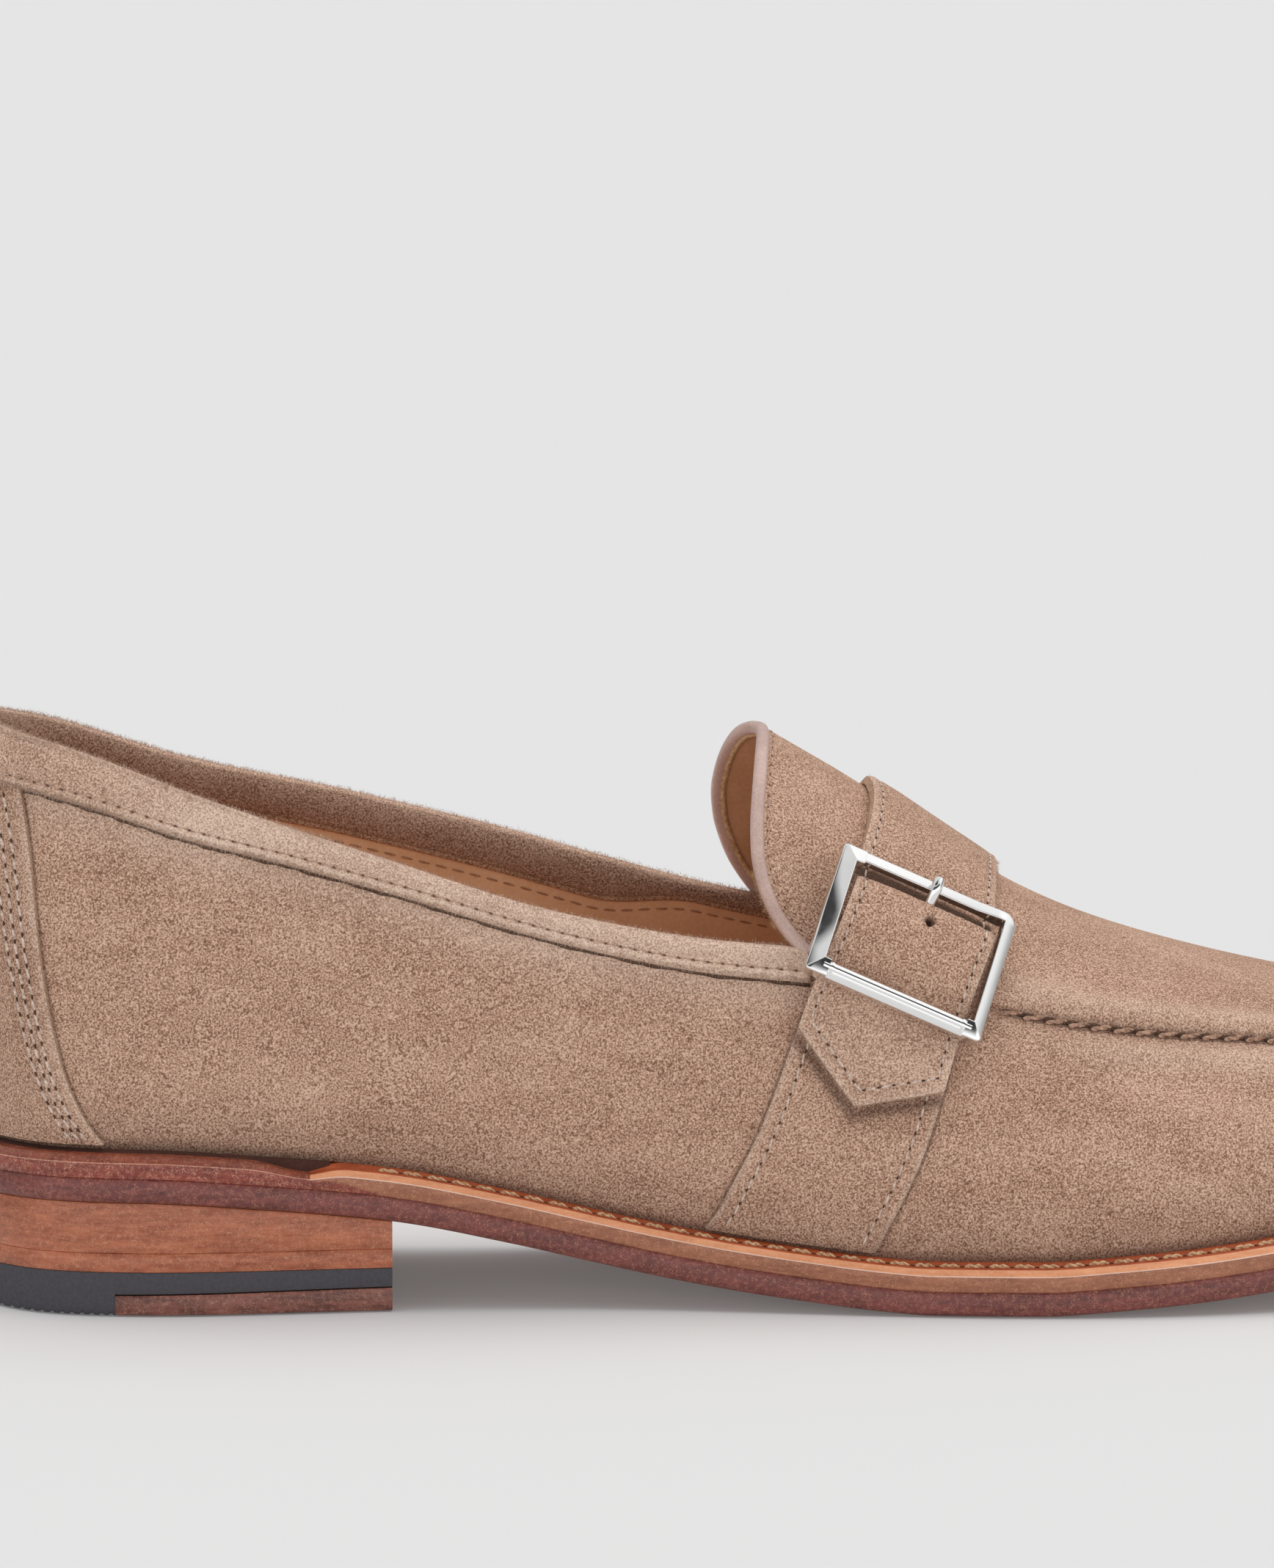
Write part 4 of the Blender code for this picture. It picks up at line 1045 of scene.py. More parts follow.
def make_heel():
    plain = [(HEEL_INSET + inward, share) for inward, share in LIFT_WALL]
    pale_and_lit = [(HEEL_INSET + inward, share) for inward, share in WORN_WALL]
    whole = sole_arounds(0, BREAST, 120)
    lifts = {
        "heel_lift_upper": (level(LOWER_LIFT_TOP + HEEL_GAP), lambda x: underside(x) - HEEL_GAP),
        "heel_lift_lower": (level(RUBBER_TOP + HEEL_GAP), level(LOWER_LIFT_TOP)),
    }
    for node, (floor, roof) in lifts.items():
        rings = plate(whole, plain, floor, roof)
        lofted(node + "_leather", rings, [lift_leather], [node], sharp=50)
    top = level(RUBBER_TOP)
    behind = plate(sole_arounds(0, TIP_START, 140), pale_and_lit, ribbed, top)
    ahead = plate(sole_arounds(TIP_START, BREAST, 80), pale_and_lit, lambda x: tip_top(x) + HEEL_GAP, top)
    rings = np.concatenate([behind, ahead])
    lofted("heel_rubber", rings, [rubber], ["heel_top_rubber"], sharp=50)
    rings = plate(sole_arounds(TIP_START + HEEL_GAP, BREAST, 90), pale_and_lit, level(0), tip_top)
    lofted("heel_tip", rings, [tip_leather], ["heel_top_leather"], sharp=50)


# Upper

# Soft folds of the vamp: station, distance below the apron's seam, half length, half width, height
FOLDS = (
    (208, 4.8, 28.0, 2.4, 0.75),
    (200, 10.0, 24.0, 3.2, -0.45),
    (214, 17.0, 26.0, 5.0, 0.3),
)

# Painted sheen on the suede along the fold under the apron's seam: strength, distance below the seam, half
# width, station where it starts and length over which it grows
CREST_SHEEN, CREST_DROP, CREST_WIDE = 0.32, 5.0, 3.0
CREST_START, CREST_FADE = 172, 24

# Lift of the hidden face of a panel that lies on the upper
LAID_ON = 0.1

# Cut panels: depth and half width of the rounding at their edge, the same of the dents along their rows of
# stitches, then strength and half width of their pale edge
CUT_PANELS = {
    "counter": ((0.4, 0.5), (0.16, 0.4), (0.5, 0.9)),
    "saddle": ((0.45, 0.5), (0.2, 0.45), (0.55, 0.8)),
    "strap": ((0.55, 0.55), (0.28, 0.5), (0.45, 0.8)),
}

# Darker suede close above the sole: strength, height
FOOT_SHADES = ((0.5, 1.4), (0.2, 8.0))

# Painted light on the suede under the collar band: strength, half width
UNDER_BAND_LIGHT, UNDER_BAND_WIDE = 0.5, 4.5

# The heel counter: width over both halves, how far it goes under the band, distances of its stitches from
# its edge, how deep those sit, and shade of the whole panel
COUNTER_WIDE = 48.0
COUNTER_TUCK = 0.4
COUNTER_ROWS = (2.3, 3.7, 5.1)
COUNTER_SINK = 0.05
COUNTER_SHADE = 0.08


def seam_drop(side, around, up):
    """Millimetres down a rib from the apron's seam."""
    return (seam_at(side, around) - up) * rib_length(side, around, up)


def fold_lift(side, around, up):
    """Soft ridges and troughs where the vamp bends, under the apron's seam."""
    drop = seam_drop(side, around, up)
    station = station_at(around)
    lift = np.zeros(np.shape(up))
    for place_along, distance, long, wide, height in FOLDS:
        lift += height * bump(station - place_along, long) * bump(drop - distance, wide)
    return lift


def foot_shade(height):
    return sum(strength * bump(height, reach) for strength, reach in FOOT_SHADES)


def pressed(panel_name, face, edge, rows):
    """A panel's face that sinks at its cut edge and along its rows of stitches."""
    (depth, width), (row_depth, row_width), _ = CUT_PANELS[panel_name]
    dents = sum(bump(edge - row, row_width) for row in rows)
    return face - depth * bump(edge, width) - row_depth * dents


def pale_edge(panel_name, edge):
    strength, width = CUT_PANELS[panel_name][2]
    return strength * bump(edge, width)


def make_upper():
    throat = around_at(THROAT)
    rear = np.linspace(0, throat, 96)[:, None]
    front = np.linspace(throat, 1, 120)[:, None]
    rise = np.linspace(0, 1, 56)[None]
    cross = np.linspace(0, 1, 12)[None]
    grids = []
    for side in (-1, 1):
        grids.append((side, rear, rise * wall_up(side, rear)))
        grids.append((side, front, rise * seam[side](front)))
        grids.append((side, front, seam[side](front) + (1 - seam[side](front)) * cross))
    panel = Panel(grids, level(-WALL), fold_lift)
    # The upper's edge mark is painted light: a sheen along the fold under the seam and light under the band
    crest = bump(seam_drop(*panel.spots) - CREST_DROP, CREST_WIDE)
    sheen = CREST_SHEEN * crest * eased((panel.station - CREST_START) / CREST_FADE)
    under_band = (by_side(band_foot_up, panel.side, panel.around) - panel.up) * panel.per_up
    sheen += UNDER_BAND_LIGHT * bump(under_band, UNDER_BAND_WIDE) * (panel.station < BAND_REACH)
    looks = [suede, lining, suede]
    panel.make("upper_suede", "upper", looks, sheen, foot_shade(panel.up * panel.per_up), sharp=50)


def counter_top(side, around):
    return below(side, around, band_foot_up(side, around), -COUNTER_TUCK)


def above_sole(share, top):
    """The up at a share of the way from the edge of the sole."""
    return SOLE_EDGE_UP + share * (top - SOLE_EDGE_UP)


def make_heel_counter():
    rise = np.linspace(0, 1, 90)[:, None]
    across = crowded(60, COUNTER_WIDE, 1.2, 5)[None] * -2 + 1
    around = around_at(counter_edge(rise)) * across

    def to_edge(around, up):
        top = by_side(counter_top, -1, around)
        share = np.clip((up - SOLE_EDGE_UP) / (top - SOLE_EDGE_UP), 0, 1)
        return counter_edge(share) - station_at(np.abs(around))

    def high(_, around, up):
        return pressed("counter", GAP + OVERLAY, to_edge(around, up), COUNTER_ROWS)

    up = above_sole(rise, by_side(counter_top, -1, around))
    panel = Panel([(-1, around, up)], level(LAID_ON), high)
    edge = to_edge(panel.around, panel.up)
    shade = np.full_like(edge, COUNTER_SHADE)
    panel.make("counter_suede", "heel_counter", [suede, suede, raw_edge], pale_edge("counter", edge), shade)
    share = np.linspace(0.01, 0.97, 200)
    lines = []
    for half in (-1, 1):
        for distance in COUNTER_ROWS:
            spot = around_at(counter_edge(share) - distance)
            up = above_sole(share, counter_top(half, spot))
            lines.append(line_on(half, spot, up, GAP + OVERLAY - COUNTER_SINK))
    stitch("counter", lines, light_thread, needle_hole_shade)


def band_inside(station):
    """How far the band reaches down inside the shoe. It narrows towards the tongue."""
    return BAND_INSIDE - (BAND_INSIDE - INSIDE_LEAST) * eased((station - NARROW_START) / NARROW_FADE)


def band_section(depth, inside):
    """Distances below the top edge and lifts of the band's section, smooth through its named points."""
    narrow = (inside - INSIDE_TURN) / (BAND_INSIDE - INSIDE_TURN)
    drops, lifts = [], []
    for kind, distance, lift in BAND_SECTION:
        inner = kind == "top" and distance > INSIDE_TURN
        past = INSIDE_TURN + narrow * (distance - INSIDE_TURN)
        drops.append(depth - distance if kind == "lip" else past if inner else distance)
        if inner and lift < INSIDE_LIFT:
            lift = INSIDE_LIFT + narrow * (lift - INSIDE_LIFT)
        lifts.append(lift)
    drops, lifts = np.array(drops), np.array(lifts)
    run = np.concatenate([[0], np.cumsum(np.hypot(np.diff(drops), np.diff(lifts)))])
    fine = np.linspace(0, run[-1], 56)
    drop, lift = smooth_curve(run, drops)(fine), smooth_curve(run, lifts)(fine)
    hidden = ((inside - 0.3, -WALL - 0.05), (BAND_CROWN - 0.2, -WALL - 0.05), (BAND_CROWN - 0.2, 0.05))
    return np.concatenate([drop, column(hidden, 0)]), np.concatenate([lift, column(hidden, 1)])


def band_path(count):
    """Sides and arounds along the collar, from the throat's outer end round the heel to its inner end."""
    shares = sole_arounds(0, BAND_REACH, count)
    side = np.concatenate([np.full(count, -1), np.full(count - 1, 1)])
    return side, np.concatenate([shares[::-1], shares[1:]])


def collar_up(side, around, drop):
    """The up that lies this far below the finished top edge of the collar."""
    return below(side, around, by_side(top_up, side, around), drop)


# The band's surface: depth of the dents at its stitches and of the lumps of its lip, with their height
# above the lip and half width
PUCKER, PUCKER_PLACE = 0.2, (1.2, 1.0)
CRUMBLE, CRUMBLE_PLACE = 0.2, (0.4, 0.8)

# Painted light on the band's outside: paleness at the heel and what is added from a station on over a
# length, then painted highlights at the crown and at the lip, with the place of that
BAND_LIGHT_HEEL, BAND_LIGHT_MORE = 0.25, 0.45
BAND_LIGHT_START, BAND_LIGHT_FADE = 12, 30
CROWN_HIGHLIGHT = 0.25
LIP_HIGHLIGHT, LIP_HIGHLIGHT_PLACE = 0.25, (0.8, 0.7)

# The band's shade inside the shoe and under its lip
INSIDE_SHADE = 0.38
LIP_SHADE, LIP_SHADE_PLACE = 0.6, (0.05, 0.25)


def make_collar_band():
    side, around = band_path(420)
    depth = band_depth(station_at(around))
    sections = [band_section(*pair) for pair in zip(depth, band_inside(station_at(around)))]
    drop, lift = (np.array([section[k] for section in sections]) for k in range(2))

    def near_lip(height, width):
        return bump(drop - depth[:, None] + height, width)

    run = run_along(last_point(side, around, collar_up(side, around, 0.0)))[:, None]
    row = np.arange(drop.shape[1])[None]
    waves = np.cos(2 * np.pi * run / COLLAR_PITCH)
    lumps = np.sin(3.1 * run + 0.9 * row) * np.sin(1.7 * run - 0.5 * row)
    pucker = PUCKER * waves * near_lip(*PUCKER_PLACE) * (lift > 0.3)
    pucker += CRUMBLE * lumps * near_lip(*CRUMBLE_PLACE) * (lift > 0.3)
    side, around = np.broadcast_arrays(side[:, None], around[:, None], drop)[:2]
    rings = place(side, around, collar_up(side, around, drop), lift - pucker)
    outside, inside = eased(lift + 0.4), eased((-1.2 - lift) / 1.4)
    # Edge mark: painted light on the band's outside, more from the heel forward, and painted highlights at
    # the crown and the lip. Shade mark: painted shade inside the shoe and under the lip
    pale_and_lit = BAND_LIGHT_HEEL + BAND_LIGHT_MORE * eased((station_at(around) - BAND_LIGHT_START) / BAND_LIGHT_FADE)
    edges = pale_and_lit * outside + CROWN_HIGHLIGHT * bump(drop - 0.5, 0.8) * (1 - inside)
    edges += LIP_HIGHLIGHT * outside * near_lip(*LIP_HIGHLIGHT_PLACE)
    shades = INSIDE_SHADE * inside + LIP_SHADE * near_lip(*LIP_SHADE_PLACE) * (lift < 0.7) * (lift > -0.5)
    marks = {"edge": edges, "shade": shades}
    lofted("collar_band_suede", rings, [suede], ["collar_band"], marks=marks)


def collar_line(drop_of, lift):
    """Points and normals of a line along the collar. Its distance below the edge goes by the station."""
    side, around = band_path(240)
    return line_on(side, around, collar_up(side, around, drop_of(station_at(around))), lift)


def make_collar_stitches():
    line = collar_line(lambda station: band_depth(station) - BAND_STITCH, 1.12)
    stitch("collar", [line], suede_thread, faint_hole_shade)
    points, out = collar_line(lambda station: band_inside(station) + 2.6, -WALL - 0.1)
    stitch("lining", [(points, -out)], lining_thread)


RIBBON_THICK = 0.07


def shadow_line(name, side, first, second, lift, shade):
    """A thin dark ribbon on the last between two lines of (around, up), for the shadow beside an edge."""
    low = lift - RIBBON_THICK
    corners = ((first, low), (first, lift), (second, lift), (second, low))
    rings = np.stack([place(side, *spot, high) for spot, high in corners], 1)
    lofted(name, rings, [suede], marks={"shade": np.full(rings.shape[:2], shade)})


# Painted shade in the gap under the band's lip: reach above and below the lip, what its uneven width
# adds, lift, shade
CREVICE_ABOVE, CREVICE_BELOW, CREVICE_MORE = 0.7, 0.4, 0.35
CREVICE_LIFT, CREVICE_SHADE = 0.1, 0.85


def make_collar_crevice():
    """Painted shade in the gap under the band's lower lip: a dark ribbon of uneven width."""
    side, around = band_path(420)
    depth = band_depth(station_at(around))
    run = np.arange(len(around)) * 0.75
    uneven = 0.5 + 0.3 * np.sin(run / 2.7) + 0.2 * np.sin(run / 1.1 + 1)
    above = (around, collar_up(side, around, depth - CREVICE_ABOVE))
    reach = (around, collar_up(side, around, depth + CREVICE_BELOW + CREVICE_MORE * uneven))
    shadow_line("collar_crevice", side, above, reach, CREVICE_LIFT, CREVICE_SHADE)


# Shadows beside the cut edges of the overlays: how far they reach under the edge, lift
SHADOW_UNDER, SHADOW_LIFT = 0.2, 0.13


def make_overlay_shadows():
    """Shadows beside the cut edges of the saddle and the counter, and under the apron's seam."""
    up = np.linspace(SOLE_EDGE_UP, SADDLE_TOP - 0.01, 160)
    for name, edge, step in (("saddle_shadow_rear", 0.0, -1), ("saddle_shadow_front", 1.0, 1)):
        station = strap_station(up, edge)
        near = (around_at(station - SHADOW_UNDER * step), up)
        far = (around_at(station + 0.42 * step), up)
        shadow_line(name, -1, near, far, SHADOW_LIFT, 0.5)
    spot = sole_arounds(ROLL_START + 1, LENGTH - 2, 300)
    for name, side in (("seam_shadow_outer", -1), ("seam_shadow_inner", 1)):
        sides = np.full_like(spot, side)
        near, far = (below(sides, spot, seam[side](spot), drop) for drop in (0.3, 1.0))
        crest = fold_lift(sides, spot, far)
        shadow_line(name, sides, (spot, near), (spot, far), 0.08 + crest, 0.5)
    share = np.linspace(0.0, 0.98, 160)
    station = counter_edge(share)
    for name, side in (("counter_shadow_outer", -1), ("counter_shadow_inner", 1)):
        up = above_sole(share, band_foot_up(side, around_at(station)))
        near = (around_at(station - SHADOW_UNDER), up)
        far = (around_at(station + 0.4), up)
        shadow_line(name, side, near, far, SHADOW_LIFT, 0.45)


# Fibres on the collar band: distance below the top edge, or above the lip if negative, lift, angle out of
# the last in degrees, share of the number of fibres
COLLAR_FUZZ = (
    (0.9, 1.3, 25, 1.4), (0.4, 0.8, 45, 1.4), (0.0, -0.6, 90, 1.4), (0.3, -2.2, 130, 0.8),
    (-0.35, 1.35, -35, 2.0), (-0.05, 0.9, -70, 2.0),
)
COLLAR_FIBRES = 3600


def make_collar_fuzz():
    side, around = band_path(300)
    depth = band_depth(station_at(around))
    rows = []
    for drop, lift, degrees, share in COLLAR_FUZZ:
        up = collar_up(side, around, drop if drop >= 0 else depth + drop)
        _, upward = slopes_of(side, around, up)
        angle = np.radians(degrees)
        stand = np.cos(angle) * normal_of(side, around, up) + np.sin(angle) * unit(upward)
        rows.append((place(side, around, up, lift), stand, int(COLLAR_FIBRES * share)))
    fuzz("collar_fuzz", rows, suede, 0.55)


def make_lining_edge():
    """The pale cut edge of the lining under the inside of the band."""
    upper_edge, out = collar_line(lambda station: band_inside(station) - 0.2, -WALL)
    lower_edge, _ = collar_line(lambda station: band_inside(station) + 0.9, -WALL)
    corners = ((upper_edge, 0.05), (upper_edge, 0.65), (lower_edge, 0.5), (lower_edge, 0.05))
    rings = np.stack([edge - inward * out for edge, inward in corners], 1)
    lofted("lining_edge", rings, [raw_edge])


# The roll along the apron's seam, in shares of the way to the ridge: place, half width, then height and the
# length over which it starts; the groove at the seam and the gathers at its stitches, in the same shares
ROLL_PLACE, ROLL_WIDTH = 0.085, 0.075
ROLL_HEIGHT, ROLL_FADE = 1.0, 6.0
GROOVE_DEPTH, GROOVE_WIDTH = 0.8, 0.03
GATHER, GATHER_PLACE, GATHER_WIDTH = 0.26, 0.03, 0.05


def seam_share(side, around, up):
    edge = seam_at(side, around)
    return (up - edge) / (1 - edge)


def apron_lift(side, around, up):
    """The apron's outer face: a soft roll along its seam, drawn in at each stitch."""
    share = seam_share(side, around, up)
    station = station_at(around)
    ridge = ROLL_HEIGHT * bump(share - ROLL_PLACE, ROLL_WIDTH)
    groove = GROOVE_DEPTH * bump(share, GROOVE_WIDTH)
    gather = GATHER * np.cos(2 * np.pi * station / ROPE_PITCH) * bump(share - GATHER_PLACE, GATHER_WIDTH)
    front = np.clip((station - ROLL_START) / ROLL_FADE, 0, 1)
    return GAP + APRON_THICK + (ridge - groove + gather) * front


def make_apron_tongue():
    share = finer_start(0.2, 20, 30)[None]
    along = finer_start(0.06, 12, 190)[:, None]
    grids = []
    for side in (-1, 1):
        edge = around_at(tongue_edge[side](share))
        around = edge + (1 - edge) * along
        grids.append((side, around, seam[side](around) + (1 - seam[side](around)) * share))
    panel = Panel(grids, level(LAID_ON), apron_lift)
    share = seam_share(*panel.spots)
    front = eased((panel.station - ROLL_START) / ROLL_FADE)
    # Edge mark: painted highlight on the roll above the seam. Shade mark: painted shade in the groove at
    # the seam
    pale, dark = 0.3 * front * bump(share - 0.09, 0.06), 0.5 * front * bump(share, 0.015)
    panel.make("apron_suede", "apron_tongue", [suede, tongue_lining, suede], pale, dark)


def make_apron_stitches():
    spot = sole_arounds(ROLL_START + 0.5, LENGTH, 400)
    halves = []
    for side in (-1, 1):
        up = below(np.full_like(spot, side), spot, seam[side](spot), 0.35)
        halves.append(line_on(side, spot, up, 0.55))
    points, out = (np.concatenate([outer, inner[-2::-1]]) for outer, inner in zip(*halves))
    stitch("apron", [(points, out)], rope_thread, needle_hole_shade, plies=2)


def tongue_line(share, back, lift):
    """Points, directions and normals along the tongue's edge, moved back off it by a distance."""

    def edge(share):
        side = np.where(share > 1, 1, -1)
        share = np.where(share > 1, 2 - share, share)
        around = around_at(np.where(side < 0, tongue_edge[-1](share), tongue_edge[1](share)))
        foot = seam_at(side, around)
        return side, around, foot + (1 - foot) * share

    points = place(*edge(share), lift)
    along = unit(place(*edge(share + 1e-3), lift) - place(*edge(share - 1e-3), lift))
    out = normal_of(*edge(share))
    behind = unit(np.cross(out, along))
    behind = -np.sign(behind[:, :1]) * behind
    return points + back * behind, along, unit(np.cross(along, np.cross(out, along)))


PIPING_RADIUS = 1.15


def make_tongue_piping():
    half = np.concatenate([np.linspace(0.012, 0.3, 70), np.linspace(0.31, 1.0, 90)])
    share = np.concatenate([half, 2 - half[-2::-1]])
    middle, along, out = tongue_line(share, PIPING_RADIUS - 0.3, GAP + APRON_THICK / 2)
    rings = tube(middle, out, np.cross(out, along), PIPING_RADIUS)
    lofted("tongue_piping_leather", rings, [piping_leather], ["tongue_piping"])
    points, _, out = tongue_line(share, -0.75, GAP + APRON_THICK - 0.02)
    stitch("tongue", [(points, out)], suede_thread, faint_hole_shade)
    first, _, out = tongue_line(share, 0.3, GAP)
    second, _, _ = tongue_line(share, -0.55, GAP)
    rings = np.stack([first, first - 0.7 * out, second - 0.5 * out, second], 1)
    lofted("tongue_lining_edge", rings, [fringe_leather])
    low = np.linspace(0.02, 0.24, 60)
    points, _, out = tongue_line(low, 2 * PIPING_RADIUS - 0.45, GAP + 0.1)
    before, _, _ = tongue_line(low, 0.0, GAP + 0.1)
    fuzz("tongue_fringe", [(points, unit(points - before), 420)], fringe_leather, 0.7)


# Strap and saddle

def strap_station(up, across):
    return strap_rear(up) + (strap_front(up) - strap_rear(up)) * across


def strap_across(around, up):
    return (station_at(around) - strap_rear(up)) / (strap_front(up) - strap_rear(up))


def strap_around(up, across):
    return around_at(strap_station(up, across))


def tip_up(across):
    return np.interp(across, column(STRAP_TIP, 0), column(STRAP_TIP, 1))


# Saddle and strap: width, distance of their stitches from the edge
SADDLE_WIDE, SADDLE_ROW = 27.0, 2.6
STRAP_WIDE, STRAP_ROW = 25.0, 1.6

# Distance from the slanting edge of the strap's tip, as a share of the distance along a rib
TIP_SLANT = 0.83

# Spare hole of the strap: up, share across, radius, then softness of its edge and depth
SPARE_HOLE = (0.577, 0.545, 0.85)
HOLE_SOFT, HOLE_DEPTH = 0.5, 1.5

# Painted light on the end of the strap: strength, up where it starts, length over which it grows
TIP_LIGHT, TIP_LIGHT_START, TIP_LIGHT_FADE = 0.18, 0.47, 0.06

# Shadow of the strap's tip on the saddle: strength, half width
TIP_SHADE, TIP_SHADE_WIDE = 0.6, 1.3

# The strap's padding between its stitches: height, distance over which it swells
PILLOW, PILLOW_FADE = 0.12, 5

# How far the row of stitches round the strap's tip stays above that tip
TIP_ROW = 0.026


def make_saddle():
    across = crowded(44, SADDLE_WIDE, 4.0, 10)[None]
    up = np.linspace(SOLE_EDGE_UP, SADDLE_TOP, 90)[:, None] + 0 * across

    def to_edge(around, up):
        across = strap_across(around, up)
        return np.minimum(across, 1 - across) * SADDLE_WIDE

    def high(_, around, up):
        return pressed("saddle", GAP + OVERLAY, to_edge(around, up), [SADDLE_ROW])

    panel = Panel([(-1, strap_around(up, across), up)], level(LAID_ON), high)
    edge = to_edge(panel.around, panel.up)
    tip = tip_up(strap_across(panel.around, panel.up))
    under_tip = TIP_SHADE * bump((tip - panel.up) * panel.per_up - TIP_SHADE_WIDE, TIP_SHADE_WIDE)
    shade = np.maximum(under_tip, foot_shade(panel.up * panel.per_up))
    panel.make("saddle_suede", "saddle", [suede, suede, raw_edge], pale_edge("saddle", edge), shade)
    up = np.linspace(SOLE_EDGE_UP + 0.01, SADDLE_TOP, 120)
    rows = (SADDLE_ROW / SADDLE_WIDE, 1 - SADDLE_ROW / SADDLE_WIDE)
    lines = [line_on(-1, strap_around(up, across), up, GAP + OVERLAY - 0.12) for across in rows]
    stitch("saddle", lines, light_thread, needle_hole_shade)


def strap_inner(side, around, up):
    across = strap_across(around, up)
    outer, inner = (rear(up) + (front(up) - rear(up)) * across for rear, front in strap_lift)
    return np.where(side < 0, outer, inner)


def strap_edge(side, around, up):
    """Distance from the strap's nearest edge, its pointed end included."""
    across = strap_across(around, up)
    sideways = np.minimum(across, 1 - across) * STRAP_WIDE
    past_tip = (up - tip_up(across)) * rib_length(side, around, up) * TIP_SLANT
    return np.where(side < 0, np.minimum(sideways, past_tip), sideways)


def hole_share(side, around, up):
    """1 inside the spare hole and 0 outside it."""
    hole_up, hole_across, radius = SPARE_HOLE
    sideways = (strap_across(around, up) - hole_across) * STRAP_WIDE
    lengthways = (up - hole_up) * rib_length(side, around, up)
    return np.where(side < 0, eased((radius - np.hypot(sideways, lengthways)) / HOLE_SOFT + 0.5), 0.0)


def strap_outer(side, around, up):
    edge = strap_edge(side, around, up)
    pillow = pressed("strap", 0.0, edge, [STRAP_ROW]) + PILLOW * eased((edge - STRAP_ROW) / PILLOW_FADE)
    return strap_inner(side, around, up) + STRAP_THICK + pillow - HOLE_DEPTH * hole_share(side, around, up)


def make_strap():
    across = crowded(46, STRAP_WIDE, 3.0, 10)[None]
    tip = tip_up(across)
    outer_up = tip + (1 - tip) * finer_start(0.05, 10, 150)[:, None]
    inner_up = 1 - (1 - SOLE_EDGE_UP) * np.linspace(0, 1, 120)[:, None] + 0 * across
    grids = [(side, strap_around(up, across), up) for side, up in ((-1, outer_up), (1, inner_up))]
    panel = Panel(grids, strap_inner, strap_outer)
    edge = strap_edge(*panel.spots)
    # Shade mark: painted shade in the spare hole and under the top bar. Edge mark: the pale cut edge, and
    # painted light on the end of the strap
    pit = hole_share(*panel.spots)
    dive = eased((panel.up - DIVE_START) / DIVE_SOFT) * eased((DIVE_END - panel.up) / DIVE_SOFT)
    dive = DIVE_SHADE * dive * (panel.side < 0)
    tip_light = TIP_LIGHT * eased((TIP_LIGHT_START - panel.up) / TIP_LIGHT_FADE) * (panel.side < 0)
    pale_and_lit = pale_edge("strap", edge) * (1 - pit) + tip_light
    panel.make("strap_suede", "strap", [suede, suede, raw_edge], pale_and_lit, np.maximum(pit, dive))


def make_strap_stitches():
    share = STRAP_ROW / STRAP_WIDE
    corners = np.array([share, 0.5, 1 - share])
    corner_up = tip_up(corners) + TIP_ROW
    to_ridge = np.linspace(0, 1, 200)
    runs = [(-1, np.full(200, corners[k]), corner_up[k] + (1 - corner_up[k]) * to_ridge) for k in (0, 2)]
    across = np.linspace(share, 1 - share, 120)
    runs.append((-1, across, np.interp(across, corners, corner_up)))
    runs += [(1, np.full(200, across), np.linspace(1, 0.03, 200)) for across in (share, 1 - share)]
    lines = []
    for side, across, up in runs:
        spots = np.full_like(up, side), strap_around(up, across), up
        lines.append(line_on(*spots, strap_outer(*spots) + 0.06))
    stitch("strap", lines, light_thread, needle_hole_shade)


def make_edge_fuzz():
    """Fibres along the cut edges of the strap's end and of the saddle."""
    across = np.linspace(0, 1, 120)
    up = np.linspace(0.33, 1.0, 160)
    low = np.linspace(SOLE_EDGE_UP, 0.33, 120)
    lines = [(across, tip_up(across), 0.0, 0.02, strap_outer, 500)]
    for edge, inward in ((0.0, 0.03), (1.0, -0.03)):
        lines.append((np.full(160, edge), up, inward, 0.0, strap_outer, 500))
        lines.append((np.full(120, edge), low, inward, 0.0, level(GAP + OVERLAY), 350))
    rows = []
    for across, up, aside, above, lift, count in lines:
        spots = np.full(len(up), -1), strap_around(up, across), up
        points, out = line_on(*spots, lift(*spots) - 0.1)
        inner = place(spots[0], strap_around(up + above, across + aside), up + above, lift(*spots))
        rows.append((points, 0.7 * unit(points - inner) + 0.5 * out, count))
    fuzz("edge_fuzz", rows, suede, 0.4)


# Buckle

BUCKLE_STATION = 155.9
BUCKLE_UP = 0.537
BUCKLE_STAND_OFF = 6.0
BUCKLE_TURN = np.radians(2.0)
BUCKLE_TILT = np.radians(5.0)
BUCKLE_WIDE = 31.9
BUCKLE_TALL = 25.0
SIDE_BAR = 2.6
TOP_BAR = 2.0
TOP_BAR_HALF_THICK = 0.9
BOTTOM_BAR = 3.0
HINGE_OUT = -1.7
HINGE_RADIUS = 0.8
PRONG_RADIUS = 1.0
PRONG_ACROSS = 0.9

# The frame's outline: rounding of its edges, widths of its side bars, length and depth of the left
# shoulder, the blocks that hold the bottom rod and the rim behind that rod
FRAME_ROUNDING = 0.3
LEFT_BAR, RIGHT_BAR = 2.8, 2.15
SHOULDER, SHOULDER_DEPTH = 4.3, 2.8
COLLAR_BLOCK = 1.0
RIM = 1.25

# Radii of the outer corners: both left ones, top right, bottom right
LEFT_CORNER, TOP_CORNER, LOW_CORNER = 0.7, 2.6, 0.8

# Heights of the frame's face at its inner and outer edge, and of its back
SIDE_HEIGHTS = (1.5, 0.8, -1.5)
TOP_HEIGHTS = (0.85, 0.5, -0.9)
RIM_HEIGHTS = (1.0, 0.2, -1.0)

